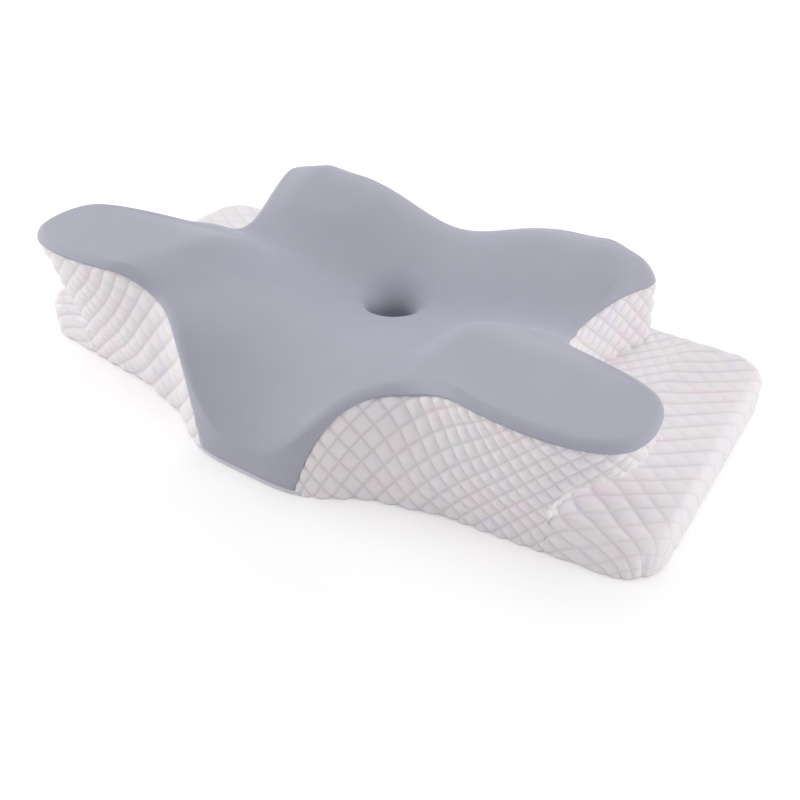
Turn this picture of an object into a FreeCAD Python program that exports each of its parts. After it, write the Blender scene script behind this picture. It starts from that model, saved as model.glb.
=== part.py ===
"""Butterfly cervical pillow with a zipped cover, in millimetres.

+X runs along the pillow, +Y from the neck side to the back, +Z up. The origin is
on the surface the pillow rests on, midway along and midway between its front and back.
"""
import FreeCAD
import Part
import Sketcher
import math
import os
from types import SimpleNamespace

from FreeCAD import Placement, Rotation, Vector

# ---------------------------------------------------------------- driving dimensions
# Distances called "_back" are measured backwards from the slab's front edge.
SIZES = {
    # slab that carries the pillow and makes the armrests
    "slab_length": 610.0,
    "slab_depth": 272.0,
    "slab_height": 34.0,
    "slab_corner_radius": 32.0,
    "slab_edge_radius": 10.0,
    # plan outline of the raised body
    "nose_reach": 58.0,
    "nose_half_width": 47.0,
    "nose_lean": 8.0,
    "nose_corner_ease": 3.0,
    "waist_half_width": 120.0,
    "wing_half_span": 281.0,
    "wing_centre_offset": 205.0,
    "wing_centre_back": 25.0,
    "wing_half_chord": 54.0,
    "wing_fullness": 0.8,
    "wing_foot_inset": 20.0,
    "wing_foot_back": 8.0,
    "notch_half_width": 170.0,
    "notch_back": 148.0,
    "notch_foot_spread": 14.0,
    "lobe_half_width": 199.0,
    "lobe_foot_spread": 6.0,
    "lobe_corner_radius": 24.0,
    "lobe_setback": 3.0,
    # crown, the height of the top surface
    "rim_level": 110.0,
    "ridge_height": 84.0,
    "ridge_back": 16.0,
    "shoulder_rise": 14.0,
    "shoulder_offset": 120.0,
    "wing_height": 116.0,
    "wing_root_offset": 88.0,
    "wing_crest_offset": 140.0,
    "wing_root_slant": 0.35,
    "wing_crest_back": 52.0,
    "nose_drop": 0.72,
    "wing_drop": 0.1,
    "hollow_height": 57.0,
    "notch_height": 83.0,
    "hump_height": 115.0,
    "hump_offset": 118.0,
    "hump_flat": 30.0,
    "hump_back": 240.0,
    "saddle_height": 85.0,
    "lobe_side_height": 95.0,
    "back_roll": 9.0,
    # arm slots under the wings
    "slot_root_offset": 230.0,
    "slot_root_height": 49.0,
    "slot_tip_height": 95.0,
    "slot_root_radius": 8.0,
    # vent through the middle
    "vent_radius": 24.0,
    "vent_back": 146.0,
    "funnel_depth": 7.0,
    "funnel_spread": 32.0,
    "sleeve_wall": 1.5,
    # layers
    "cover_wall": 3.0,
    "liner_wall": 1.0,
    "layer_gap": 0.4,
    "seam_margin": 0.6,
    "hem_height": 4.0,
    # zipper
    "zipper_length": 440.0,
    "zipper_level": 14.5,
    "zipper_opening": 14.0,
    "tape_wall": 0.7,
    "coil_width": 2.2,
    "coil_wall": 1.9,
    "coil_recess": 0.6,
    "chain_gap": 1.6,
    "running_gap": 0.35,
    "slider_length": 11.0,
    "slider_wall": 1.1,
    "divider_length": 3.5,
    "bail_length": 5.0,
    "bail_width": 2.4,
    "bail_post": 1.0,
    "bail_bar": 0.7,
    "pin_radius": 0.5,
    "tab_length": 22.0,
    "tab_width": 6.4,
    "tab_wall": 1.0,
    "tab_eye_radius": 1.6,
    "tab_end_radius": 2.4,
    "stop_length": 3.0,
    "stop_lip": 0.4,
    "relief_gap": 0.5,
}

# Shape of the outline between its named places. A pair of shares gives how far across
# and how far back a point lies; a third number is the second share's value at the rim.
NOSE_STRAIGHT = 0.55
WAIST_POINTS = ((0.3, 0.79, 0.79), (0.64, 0.5, 0.54), (1.0, 0.22, 0.36))
WING_ROOT_POINT = (0.5, 0.4, 0.66)
WING_FOOT_CHORD = 0.88
WING_ANGLES = (-90, -60, -30, 0, 30, 60)
NOTCH_POINTS = ((0.75, 0.3), (0.2, 0.6))
LOBE_POINTS = ((0.3, 0.42), (0.78, 0.8))
LOBE_ANGLES = (0, 45, 90)
BACK_POINTS = (0.8, 0.4, 0.0)

# The leaning walls are drawn on past the rim by this factor, above every crown height.
WALL_OVERRUN = 1.4
# Fit of the crown surface: points across, points from front to back, and its overhang.
CROWN_COLUMNS = 28
CROWN_ROWS = 20
CROWN_MARGIN = 12.0


def make_sheet(doc):
    """Put every driving dimension in a spreadsheet cell with its own alias."""
    sheet = doc.addObject("Spreadsheet::Sheet", "Sizes")
    for row, (alias, value) in enumerate(SIZES.items(), start=1):
        sheet.set(f"A{row}", alias.replace("_", " "))
        sheet.set(f"B{row}", repr(value))
        sheet.setAlias(f"B{row}", alias)
    doc.recompute()
    return sheet


def smooth(fraction):
    """Ease from 0 to 1 with level ends."""
    held = min(max(fraction, 0.0), 1.0)
    return held * held * (3.0 - 2.0 * held)


def blend(low, high, fraction):
    return low + (high - low) * fraction


# ---------------------------------------------------------------- free-form shapes
def crown_height(z, x, back):
    """Height of the pillow's top at x from the middle and back from the slab's front."""
    side = abs(x)
    root = z.wing_root_offset + z.wing_root_slant * (z.wing_crest_back - back)
    wing_share = smooth((side - root) / (z.wing_crest_offset - z.wing_root_offset))
    shoulder = z.ridge_height + z.shoulder_rise * smooth(side / z.shoulder_offset)
    ridge = blend(shoulder, z.wing_height, wing_share)
    crest = blend(z.ridge_back, z.wing_crest_back, wing_share)
    hollow = blend(z.hollow_height, z.notch_height, smooth(side / z.notch_half_width))
    hump = blend(z.saddle_height, z.hump_height, smooth(side / z.hump_offset))
    fall_start = z.hump_offset + z.hump_flat
    fall = smooth((side - fall_start) / (z.lobe_half_width - fall_start))
    hump -= (z.hump_height - z.lobe_side_height) * fall
    if back < crest:
        drop = blend(z.nose_drop, z.wing_drop, smooth(side / z.wing_crest_offset))
        reach = (crest - back) / (crest + z.nose_reach)
        height = ridge * (1.0 - drop * reach ** 3)
    elif back < z.vent_back:
        height = blend(ridge, hollow, smooth((back - crest) / (z.vent_back - crest)))
    elif back < z.hump_back:
        height = blend(hollow, hump, smooth((back - z.vent_back) / (z.hump_back - z.vent_back)))
    else:
        along = (back - z.hump_back) / (z.slab_depth - z.hump_back)
        height = hump - z.back_roll * along ** 2
    radius = math.hypot(x, back - z.vent_back)
    return height - z.funnel_depth * math.exp(-(radius / z.funnel_spread) ** 2)


def half_outline(z, level):
    """Points round the right half of the raised body, front to back.

    level 0 is the outline on the floor, level 1 the outline at the rim.
    """
    def mid(foot, rim):
        return blend(foot, rim, level)

    nose = -z.nose_reach + mid(0.0, z.nose_lean)
    waist = z.waist_half_width
    points = [(0.0, nose), (NOSE_STRAIGHT * z.nose_half_width, nose)]
    points.append((z.nose_half_width, nose + z.nose_corner_ease))
    for across, foot_fade, rim_fade in WAIST_POINTS:
        points.append((blend(z.nose_half_width, waist, across), nose * mid(foot_fade, rim_fade)))

    wing_front = mid(z.wing_foot_back, z.wing_centre_back - z.wing_half_chord)
    across, foot_fade, rim_fade = WING_ROOT_POINT
    root = blend(waist, z.wing_centre_offset, across)
    points.append((root, wing_front * mid(foot_fade, rim_fade)))
    tip = z.wing_half_span - mid(z.wing_foot_inset, 0.0)
    chord = z.wing_half_chord * mid(WING_FOOT_CHORD, 1.0)
    for degrees in WING_ANGLES:
        angle = math.radians(degrees)
        outward = math.cos(angle) ** z.wing_fullness
        rearward = math.copysign(abs(math.sin(angle)) ** z.wing_fullness, angle)
        side = blend(z.wing_centre_offset, tip, outward)
        points.append((side, wing_front + chord * (1.0 + rearward)))

    notch = z.notch_half_width + mid(z.notch_foot_spread, 0.0)
    wing_rear = wing_front + 2.0 * chord
    for across, along in NOTCH_POINTS:
        side = blend(notch, z.wing_centre_offset, across)
        points.append((side, blend(wing_rear, z.notch_back, along)))
    points.append((notch, z.notch_back))

    lobe = z.lobe_half_width + mid(z.lobe_foot_spread, 0.0)
    rear = z.slab_depth - z.lobe_setback
    corner = z.lobe_corner_radius
    for across, along in LOBE_POINTS:
        points.append((blend(notch, lobe, across), blend(z.notch_back, rear - corner, along)))
    for degrees in LOBE_ANGLES:
        angle = math.radians(degrees)
        side = lobe - corner + corner * math.cos(angle)
        points.append((side, rear - corner + corner * math.sin(angle)))
    for across in BACK_POINTS:
        points.append((across * (lobe - corner), rear))
    return points


def inset_points(points, inset):
    """Move a closed outline's points inwards along their own normals."""
    moved = []
    count = len(points)
    for index, (x, y) in enumerate(points):
        before = points[index - 1]
        after = points[(index + 1) % count]
        along = Vector(after[0] - before[0], after[1] - before[1], 0.0)
        along.normalize()
        moved.append((x - along.y * inset, y + along.x * inset))
    return moved


def outline_wire(z, height, inset, spacing):
    """Closed wire of the raised body's outline at one height."""
    half = half_outline(z, height / z.rim_level)
    full = half + [(-x, y) for x, y in reversed(half[1:-1])]
    points = [Vector(x, z.front_line + y, height) for x, y in inset_points(full, inset)]
    curve = Part.BSplineCurve()
    curve.interpolate(Points=points, Parameters=spacing, PeriodicFlag=True)
    return Part.Wire([curve.toShape()])


def outline_spacing(z):
    """Curve parameters shared by every outline, so that rulings join like points."""
    half = half_outline(z, 0.5)
    full = half + [(-x, y) for x, y in reversed(half[1:-1])]
    spacing = [0.0]
    for start, end in zip(full, full[1:] + full[:1]):
        spacing.append(spacing[-1] + math.hypot(end[0] - start[0], end[1] - start[1]))
    return spacing


def walled_solid(z, low, high, inset):
    """Raised body between two heights, with its leaning walls and flat ends."""
    spacing = outline_spacing(z)
    wires = [outline_wire(z, height, inset, spacing) for height in (low, high)]
    return Part.makeLoft(wires, True, True)


def crown_face(z, lowering):
    """The pillow's top surface, lowered by a given amount."""
    reach = z.wing_half_span + z.slab_corner_radius
    first = -z.nose_reach - CROWN_MARGIN
    last = z.slab_depth + CROWN_MARGIN
    grid = []
    for i in range(CROWN_COLUMNS + 1):
        x = reach * (2.0 * i / CROWN_COLUMNS - 1.0)
        line = []
        for j in range(CROWN_ROWS + 1):
            back = blend(first, last, j / CROWN_ROWS)
            height = crown_height(z, x, back) - lowering
            line.append(Vector(x, z.front_line + back, height))
        grid.append(line)
    surface = Part.BSplineSurface()
    surface.interpolate(grid)
    return surface.toShape()


def crown_block(z, lowering, direction):
    """Everything below (-1) or above (+1) the lowered top surface."""
    block = crown_face(z, lowering).extrude(Vector(0, 0, direction * 2.0 * z.rim_level))
    if block.Volume < 0:
        block.reverse()
    return block


def under_crown(z, lowering):
    return crown_block(z, lowering, -1)


def arm_slot(z, side, growth):
    """Wedge-shaped space under one wing, grown by a given amount."""
    root = z.slot_root_offset - growth
    slope = (z.slot_tip_height - z.slot_root_height) / (z.wing_half_span - z.slot_root_offset)
    lift = growth * math.hypot(1.0, slope)
    far = z.slab_length
    top = z.slot_root_height + lift - slope * growth
    profile = [
        Vector(root, 0, -z.slab_height),
        Vector(root, 0, top),
        Vector(far, 0, top + slope * (far - root)),
        Vector(far, 0, -z.slab_height),
    ]
    face = Part.Face(Part.makePolygon(profile + profile[:1]))
    block = face.extrude(Vector(0, 4.0 * z.slab_depth, 0))
    block.translate(Vector(0, -2.0 * z.slab_depth, 0))
    root_edges = [e for e in block.Edges if is_slot_root(e, root, top)]
    block = block.makeFillet(z.slot_root_radius + growth, root_edges)
    if side < 0:
        block = block.mirror(Vector(0, 0, 0), Vector(1, 0, 0))
    return block


def is_slot_root(edge, root, top):
    ends = [vertex.Point for vertex in edge.Vertexes]
    return all(abs(p.x - root) < 0.01 and abs(p.z - top) < 0.01 for p in ends)


def slab(z, inset):
    """The flat slab with rounded corners and a rolled top edge."""
    length = z.slab_length - 2.0 * inset
    depth = z.slab_depth - 2.0 * inset
    height = z.slab_height - 2.0 * inset
    corner = Vector(-length / 2.0, z.front_line + inset, inset)
    block = Part.makeBox(length, depth, height, corner)
    upright = [e for e in block.Edges if abs(e.tangentAt(e.FirstParameter).z) > 0.9]
    block = block.makeFillet(z.slab_corner_radius - inset, upright)
    top = z.slab_height - inset
    rim = [e for e in block.Edges if all(abs(v.Z - top) < 0.01 for v in e.Vertexes)]
    return block.makeFillet(z.slab_edge_radius - inset, rim)


def pillow_form(z, inset):
    """The whole pillow inset by a given amount, with no vent."""
    body = walled_solid(z, inset, WALL_OVERRUN * z.rim_level, inset)
    body = body.common(under_crown(z, inset))
    body = body.cut([arm_slot(z, 1, inset), arm_slot(z, -1, inset)])
    return body.fuse(slab(z, inset)).Solids[0]


def vent_hole(z):
    """Cylinder that opens every layer for the vent sleeve."""
    radius = z.vent_radius + z.sleeve_wall + z.layer_gap
    foot = Vector(0, z.front_line + z.vent_back, -z.rim_level / 2.0)
    return Part.makeCylinder(radius, 2.0 * z.rim_level, foot)


def zipper_relief(z, depth, growth):
    """Shallow trough behind the zipper, so that the slider's inner plate runs free."""
    half_height = z.slider_half_width + z.relief_gap + growth
    length = z.zipper_length + 2.0 * growth
    corner = Vector(-length / 2.0, z.back_line - depth, z.zipper_level - half_height)
    return Part.makeBox(length, 2.0 * depth, 2.0 * half_height, corner)


# ---------------------------------------------------------------- document helpers
def read_sizes(sheet):
    """Sizes for the free-form shapes, with the few that follow from others."""
    z = SimpleNamespace(**{alias: float(sheet.get(alias)) for alias in SIZES})
    z.chain_half_width = z.chain_gap / 2.0 + z.coil_width
    z.slider_half_width = z.chain_half_width + z.running_gap + z.slider_wall
    z.slider_depth = z.coil_recess + z.coil_wall + z.running_gap + z.slider_wall
    slider_face = z.running_gap + z.slider_wall - z.coil_recess
    bail_height = 2.0 * (z.pin_radius + z.running_gap) + z.bail_bar
    overall_depth = z.nose_reach + z.slab_depth + slider_face + bail_height
    z.front_line = z.nose_reach - overall_depth / 2.0
    z.back_line = z.front_line + z.slab_depth
    return z


# Places along Y that several pieces share, as expressions on the sheet.
SLIDER_FACE = "(Sizes.running_gap + Sizes.slider_wall - Sizes.coil_recess)"
BAIL_HEIGHT = "(2 * Sizes.pin_radius + 2 * Sizes.running_gap + Sizes.bail_bar)"
FRONT = f"((Sizes.nose_reach - Sizes.slab_depth - {SLIDER_FACE} - {BAIL_HEIGHT}) / 2)"
BACK = f"({FRONT} + Sizes.slab_depth)"
CHAIN_HALF_WIDTH = "(Sizes.chain_gap / 2 + Sizes.coil_width)"
CHAIN_MIDDLE = f"({BACK} - Sizes.coil_recess - Sizes.coil_wall / 2)"
CAVITY_HEIGHT = "(Sizes.coil_wall + 2 * Sizes.running_gap)"
CHAIN_END = "(Sizes.zipper_length / 2 - Sizes.stop_length)"
SLIDER_MIDDLE = f"({CHAIN_END} - Sizes.running_gap - Sizes.slider_length / 2)"


def add_shape(doc, label, shape):
    """A free-form piece, held as a plain feature."""
    feature = doc.addObject("Part::Feature", label)
    feature.Label = label
    feature.Shape = shape
    feature.Placement = Placement()
    return feature


def add_box(doc, label, low, high):
    """Box between two corners, each given as three expressions."""
    box = doc.addObject("Part::Box", label)
    box.Label = label
    for side, start, end in zip(("Length", "Width", "Height"), low, high):
        box.setExpression(side, f"({end}) - ({start})")
    for axis, start in zip("xyz", low):
        box.setExpression(f"Placement.Base.{axis}", start)
    return box


def add_boolean(doc, kind, label, base, tool):
    """Part::Cut, Part::Common or Part::Fuse of two objects."""
    result = doc.addObject(kind, label)
    result.Label = label
    result.Base = base
    result.Tool = tool
    return result


def add_union(doc, label, shapes):
    union = doc.addObject("Part::MultiFuse", label)
    union.Label = label
    union.Shapes = shapes
    return union


# ---------------------------------------------------------------- foam, liner and cover
def make_layers(doc, z):
    """Foam core, inner liner and the uncut shell of the outer cover."""
    hole = vent_hole(z)
    cover_inset = z.cover_wall
    liner_inset = cover_inset + z.layer_gap
    lining_inset = liner_inset + z.liner_wall
    foam_inset = lining_inset + z.layer_gap
    relief = z.slider_depth + z.relief_gap

    cover_outside = pillow_form(z, 0.0)
    cover_inside = pillow_form(z, cover_inset)
    shell = cover_outside.cut(cover_inside).cut(hole)
    cover = add_shape(doc, "cover_shell", shell)

    liner_outside = pillow_form(z, liner_inset).cut(zipper_relief(z, relief, 0.0))
    lining_relief = zipper_relief(z, relief + z.liner_wall, z.liner_wall)
    liner_inside = pillow_form(z, lining_inset).cut(lining_relief)
    add_shape(doc, "inner_liner", liner_outside.cut(liner_inside).cut(hole))

    foam_growth = z.liner_wall + z.layer_gap
    foam_relief = zipper_relief(z, relief + foam_growth, foam_growth)
    add_shape(doc, "foam_core", pillow_form(z, foam_inset).cut(foam_relief).cut(hole))
    return cover


def make_vent_sleeve(doc, z):
    """Knitted tube that lines the vent from the floor to the funnel."""
    foot = Vector(0, z.front_line + z.vent_back, 0)
    outside = Part.makeCylinder(z.vent_radius + z.sleeve_wall, z.rim_level, foot)
    inside = Part.makeCylinder(z.vent_radius, z.rim_level, foot)
    return add_shape(doc, "vent_sleeve", outside.cut(inside).common(under_crown(z, 0.0)))


def make_cover_panels(doc, z, shell):
    """Cut the cover's shell along its seams into the sewn panels."""
    far = "Sizes.slab_length"
    floor = "-Sizes.slab_height"
    sky = "2 * Sizes.rim_level"
    base = "Sizes.cover_wall + Sizes.seam_margin"
    shelf = "Sizes.slab_height + Sizes.seam_margin"
    nose = "Sizes.nose_half_width"
    nose_back = f"{FRONT} - Sizes.nose_reach + Sizes.nose_lean + 2 * Sizes.cover_wall"
    front_seam = f"{FRONT} + Sizes.ridge_back"
    back_seam = f"{BACK} - Sizes.slab_edge_radius"
    end_seam = "Sizes.slab_length / 2 - Sizes.slab_edge_radius"
    opening = "Sizes.zipper_opening / 2"
    seam_inset = z.cover_wall + z.seam_margin

    zipper_slot = add_box(
        doc, "zipper_slot",
        ("-Sizes.zipper_length / 2", f"{BACK} - Sizes.cover_wall - Sizes.layer_gap",
         f"Sizes.zipper_level - {opening}"),
        ("Sizes.zipper_length / 2", f"{BACK} + Sizes.cover_wall", f"Sizes.zipper_level + {opening}"),
    )
    open_shell = add_boolean(doc, "Part::Cut", "open_shell", shell, zipper_slot)

    bottom_zone = add_box(doc, "bottom_zone", (f"-{far}", f"-{far}", floor), (far, far, base))
    hem_zone = add_box(
        doc, "hem_zone",
        (f"-{nose}", f"-{far}", base), (nose, nose_back, f"{base} + Sizes.hem_height"),
    )
    nose_zone = add_box(
        doc, "nose_zone",
        (f"-{nose}", f"-{far}", f"{base} + Sizes.hem_height"), (nose, nose_back, sky),
    )
    crown_zone = add_shape(doc, "crown_zone", crown_block(z, seam_inset, 1))
    top_zone = add_union(doc, "top_zone", [crown_zone, nose_zone])

    add_boolean(doc, "Part::Common", "bottom_panel", open_shell, bottom_zone)
    add_boolean(doc, "Part::Common", "front_hem", open_shell, hem_zone)
    add_boolean(doc, "Part::Common", "top_panel", open_shell, top_zone)

    within_border = walled_solid(z, z.slab_height + z.seam_margin, z.rim_level, seam_inset)
    taken = [bottom_zone, hem_zone, top_zone]
    for side, sign in (("left", -1), ("right", 1)):
        slot_space = arm_slot(z, sign, seam_inset).common(within_border)
        zone = add_shape(doc, f"wing_underside_zone_{side}", slot_space)
        add_boolean(doc, "Part::Common", f"wing_underside_{side}", open_shell, zone)
        taken.append(zone)

    spent = add_union(doc, "spent_zones", taken)
    border = add_boolean(doc, "Part::Cut", "border_shell", open_shell, spent)
    for side in ("left", "right"):
        def across(low, high):
            return (low, high) if side == "right" else (f"-({high})", f"-({low})")

        zones = {
            "front_panel": (across("0", end_seam), (f"-{far}", front_seam), (floor, sky)),
            "side_panel": (across("0", end_seam), (front_seam, back_seam), (shelf, sky)),
            "armrest_panel": (across("0", end_seam), (front_seam, back_seam), (floor, shelf)),
            "end_panel": (across(end_seam, far), (f"-{far}", far), (floor, shelf)),
        }
        for name, (xs, ys, zs) in zones.items():
            low, high = zip(xs, ys, zs)
            zone = add_box(doc, f"{name}_zone_{side}", low, high)
            add_boolean(doc, "Part::Common", f"{name}_{side}", border, zone)
    back_zone = add_box(
        doc, "back_panel_zone", (f"-({end_seam})", back_seam, floor), (end_seam, far, sky)
    )
    add_boolean(doc, "Part::Common", "back_panel", border, back_zone)


# ---------------------------------------------------------------- zipper
def make_body(doc, label, place):
    """PartDesign body whose origin sits at a place given by three expressions."""
    body = doc.addObject("PartDesign::Body", label)
    body.Label = label
    for axis, expression in zip("xyz", place):
        body.setExpression(f"Placement.Base.{axis}", expression)
    return body


def make_sketch(body, name, plane_role, offset=None):
    """Sketch on one of the body's own origin planes, optionally moved along its normal."""
    sketch = body.newObject("Sketcher::SketchObject", name)
    plane = next(f for f in body.Origin.OriginFeatures if f.Role == plane_role)
    sketch.AttachmentSupport = [(plane, "")]
    sketch.MapMode = "FlatFace"
    if offset:
        sketch.setExpression("AttachmentOffset.Base.z", offset)
    return sketch


def draw_polygon(sketch, corners):
    """Closed outline through corners, each two expressions that fix its place."""
    values = [[float(sketch.evalExpression(e)) for e in corner] for corner in corners]
    points = [Vector(u, v, 0) for u, v in values]
    first = sketch.GeometryCount
    count = len(points)
    for index in range(count):
        sketch.addGeometry(Part.LineSegment(points[index], points[(index + 1) % count]), False)
    for index in range(count):
        following = first + (index + 1) % count
        sketch.addConstraint(Sketcher.Constraint("Coincident", first + index, 2, following, 1))
    for index, corner in enumerate(corners):
        for kind, value, expression in zip(("DistanceX", "DistanceY"), values[index], corner):
            constraint = Sketcher.Constraint(kind, -1, 1, first + index, 1, value)
            number = sketch.addConstraint(constraint)
            sketch.setExpression(f"Constraints[{number}]", expression)


def draw_rectangle(sketch, left, bottom, right, top):
    draw_polygon(sketch, [(left, bottom), (right, bottom), (right, top), (left, top)])


def draw_circle(sketch, centre_u, centre_v, radius):
    """Circle whose centre and radius are expressions."""
    u, v, r = [float(sketch.evalExpression(e)) for e in (centre_u, centre_v, radius)]
    circle = sketch.addGeometry(Part.Circle(Vector(u, v, 0), Vector(0, 0, 1), r), False)
    parts = (("DistanceX", u, centre_u), ("DistanceY", v, centre_v))
    for kind, value, expression in parts:
        number = sketch.addConstraint(Sketcher.Constraint(kind, -1, 1, circle, 3, value))
        sketch.setExpression(f"Constraints[{number}]", expression)
    number = sketch.addConstraint(Sketcher.Constraint("Radius", circle, r))
    sketch.setExpression(f"Constraints[{number}]", radius)


def add_pad(body, name, sketch, length, midplane=True):
    pad = body.newObject("PartDesign::Pad", name)
    pad.Profile = sketch
    pad.Midplane = midplane
    pad.setExpression("Length", length)
    return pad


def add_pocket(body, name, sketch, length, midplane=True, reverse=False):
    pocket = body.newObject("PartDesign::Pocket", name)
    pocket.Profile = sketch
    pocket.Midplane = midplane
    pocket.Reversed = reverse
    pocket.setExpression("Length", length)
    return pocket


def make_tapes_and_chain(doc):
    """Two woven tapes, the two rows of coil along them, and the stops at their ends."""
    half = "Sizes.zipper_length / 2"
    opening = "Sizes.zipper_opening / 2"
    level = "Sizes.zipper_level"
    tape_low = f"{CHAIN_MIDDLE} - Sizes.tape_wall / 2"
    tape_high = f"{CHAIN_MIDDLE} + Sizes.tape_wall / 2"
    add_box(doc, "zipper_tape_upper", (f"-{half}", tape_low, f"{level} + {CHAIN_HALF_WIDTH}"),
            (half, tape_high, f"{level} + {opening}"))
    add_box(doc, "zipper_tape_lower", (f"-{half}", tape_low, f"{level} - {opening}"),
            (half, tape_high, f"{level} - {CHAIN_HALF_WIDTH}"))

    for name, direction in (("upper", "+"), ("lower", "-")):
        row_level = f"{level} {direction} (Sizes.chain_gap + Sizes.coil_width) / 2"
        body = make_body(doc, f"zipper_coil_{name}", ("0", CHAIN_MIDDLE, row_level))
        sketch = make_sketch(body, f"coil_section_{name}", "YZ_Plane")
        wide = "Sizes.coil_wall / 2"
        tall = "Sizes.coil_width / 2"
        draw_rectangle(sketch, f"-{wide}", f"-{tall}", wide, tall)
        add_pad(body, f"coil_run_{name}", sketch, f"2 * {CHAIN_END}")

    stop_low = f"{CHAIN_MIDDLE} - Sizes.coil_wall / 2 - Sizes.stop_lip"
    stop_high = f"{CHAIN_MIDDLE} + Sizes.coil_wall / 2 + Sizes.stop_lip"
    upper = add_box(doc, "top_stop_upper", (CHAIN_END, stop_low, f"{level} + Sizes.chain_gap / 2"),
                    (half, stop_high, f"{level} + {CHAIN_HALF_WIDTH}"))
    lower = add_box(doc, "top_stop_lower", (CHAIN_END, stop_low, f"{level} - {CHAIN_HALF_WIDTH}"),
                    (half, stop_high, f"{level} - Sizes.chain_gap / 2"))
    add_union(doc, "zipper_top_stops", [upper, lower])
    add_box(doc, "zipper_bottom_stop", (f"-{half}", stop_low, f"{level} - {CHAIN_HALF_WIDTH}"),
            (f"-{CHAIN_END}", stop_high, f"{level} + {CHAIN_HALF_WIDTH}"))


def make_slider(doc):
    """Slider whose two plates run inside and outside the chain, joined by a divider."""
    body = make_body(doc, "zipper_slider", (SLIDER_MIDDLE, CHAIN_MIDDLE, "Sizes.zipper_level"))
    half_height = f"({CAVITY_HEIGHT} / 2)"
    outer = f"({half_height} + Sizes.slider_wall)"
    half_cavity = f"({CHAIN_HALF_WIDTH} + Sizes.running_gap)"
    half_width = f"({half_cavity} + Sizes.slider_wall)"
    half_divider = "(Sizes.chain_gap / 2 - Sizes.running_gap)"
    half_slot = "(Sizes.tape_wall / 2 + Sizes.running_gap)"

    block = make_sketch(body, "slider_section", "YZ_Plane")
    draw_rectangle(block, f"-{outer}", f"-{half_width}", outer, half_width)
    add_pad(body, "slider_block", block, "Sizes.slider_length")

    channels = make_sketch(body, "channel_section", "YZ_Plane")
    for sign in ("", "-"):
        beyond = f"{half_width} + Sizes.slider_wall"
        draw_polygon(channels, [
            (f"-{half_height}", f"{sign}{half_divider}"), (half_height, f"{sign}{half_divider}"),
            (half_height, f"{sign}{half_cavity}"), (half_slot, f"{sign}{half_cavity}"),
            (half_slot, f"{sign}({beyond})"), (f"-{half_slot}", f"{sign}({beyond})"),
            (f"-{half_slot}", f"{sign}{half_cavity}"), (f"-{half_height}", f"{sign}{half_cavity}"),
        ])
    add_pocket(body, "channels", channels, "2 * Sizes.slider_length")

    trim = make_sketch(body, "divider_trim_section", "YZ_Plane", "-Sizes.slider_length / 2")
    draw_rectangle(trim, f"-{half_height}", "-Sizes.chain_gap / 2", half_height, "Sizes.chain_gap / 2")
    add_pocket(body, "divider_trim", trim, "Sizes.slider_length - Sizes.divider_length", False, True)

    bridge = make_sketch(body, "bail_outline", "XY_Plane")
    top = f"{outer} + {BAIL_HEIGHT}"
    draw_rectangle(bridge, "-Sizes.bail_length / 2", f"{outer} - Sizes.slider_wall / 2",
                   "Sizes.bail_length / 2", top)
    add_pad(body, "bail", bridge, "Sizes.bail_width")

    eye = make_sketch(body, "bail_opening", "XY_Plane")
    half_eye = "(Sizes.bail_length / 2 - Sizes.bail_post)"
    draw_rectangle(eye, f"-{half_eye}", outer, half_eye, f"{top} - Sizes.bail_bar")
    add_pocket(body, "bail_eye", eye, "2 * Sizes.bail_width")


def make_pull_tab(doc):
    """Pull tab: a forked plate whose pin turns under the slider's bail."""
    pin_place = f"{BACK} + {SLIDER_FACE} + Sizes.running_gap + Sizes.pin_radius"
    body = make_body(doc, "zipper_pull_tab", (SLIDER_MIDDLE, pin_place, "Sizes.zipper_level"))
    reach = "(Sizes.pin_radius + Sizes.running_gap + Sizes.bail_bar)"
    fork = f"(sqrt((Sizes.bail_length / 2)^2 + {reach}^2) + Sizes.running_gap)"
    half = "(Sizes.tab_width / 2)"
    inner = "(Sizes.bail_width / 2 + Sizes.running_gap)"
    end = f"({fork} + Sizes.tab_length)"
    tip = "Sizes.pin_radius"

    plate = make_sketch(body, "tab_outline", "XZ_Plane")
    draw_polygon(plate, [
        (f"-{end}", f"-{half}"), (tip, f"-{half}"), (tip, f"-{inner}"), (f"-{fork}", f"-{inner}"),
        (f"-{fork}", inner), (tip, inner), (tip, half), (f"-{end}", half),
    ])
    add_pad(body, "tab_plate", plate, "Sizes.tab_wall")
    pin = make_sketch(body, "pin_section", "XY_Plane")
    draw_circle(pin, "0", "0", "Sizes.pin_radius")
    add_pad(body, "pin", pin, f"2 * {inner} + Sizes.tab_wall / 2")
    eye = make_sketch(body, "tab_eye_outline", "XZ_Plane")
    draw_circle(eye, f"-{end} + {half}", "0", "Sizes.tab_eye_radius")
    add_pocket(body, "tab_eye", eye, "2 * Sizes.tab_wall")
    doc.recompute()

    far_edges = []
    for number, edge in enumerate(body.Tip.Shape.Edges, start=1):
        ends = [vertex.Point for vertex in edge.Vertexes]
        across = len(ends) == 2 and abs(ends[0].y - ends[1].y) > 0.5 * SIZES["tab_wall"]
        if across and ends[0].x < -SIZES["tab_length"]:
            far_edges.append(f"Edge{number}")
    rounding = body.newObject("PartDesign::Fillet", "tab_corners")
    rounding.Base = (body.getObject("tab_eye"), far_edges)
    rounding.setExpression("Radius", "Sizes.tab_end_radius")
    body.Tip = rounding


NODES = [
    "foam_core", "inner_liner", "vent_sleeve", "top_panel", "front_hem", "bottom_panel", "back_panel",
    "front_panel_left", "front_panel_right", "side_panel_left", "side_panel_right",
    "wing_underside_left", "wing_underside_right", "armrest_panel_left", "armrest_panel_right",
    "end_panel_left", "end_panel_right", "zipper_tape_upper", "zipper_tape_lower",
    "zipper_coil_upper", "zipper_coil_lower", "zipper_top_stops", "zipper_bottom_stop",
    "zipper_slider", "zipper_pull_tab",
]


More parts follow.
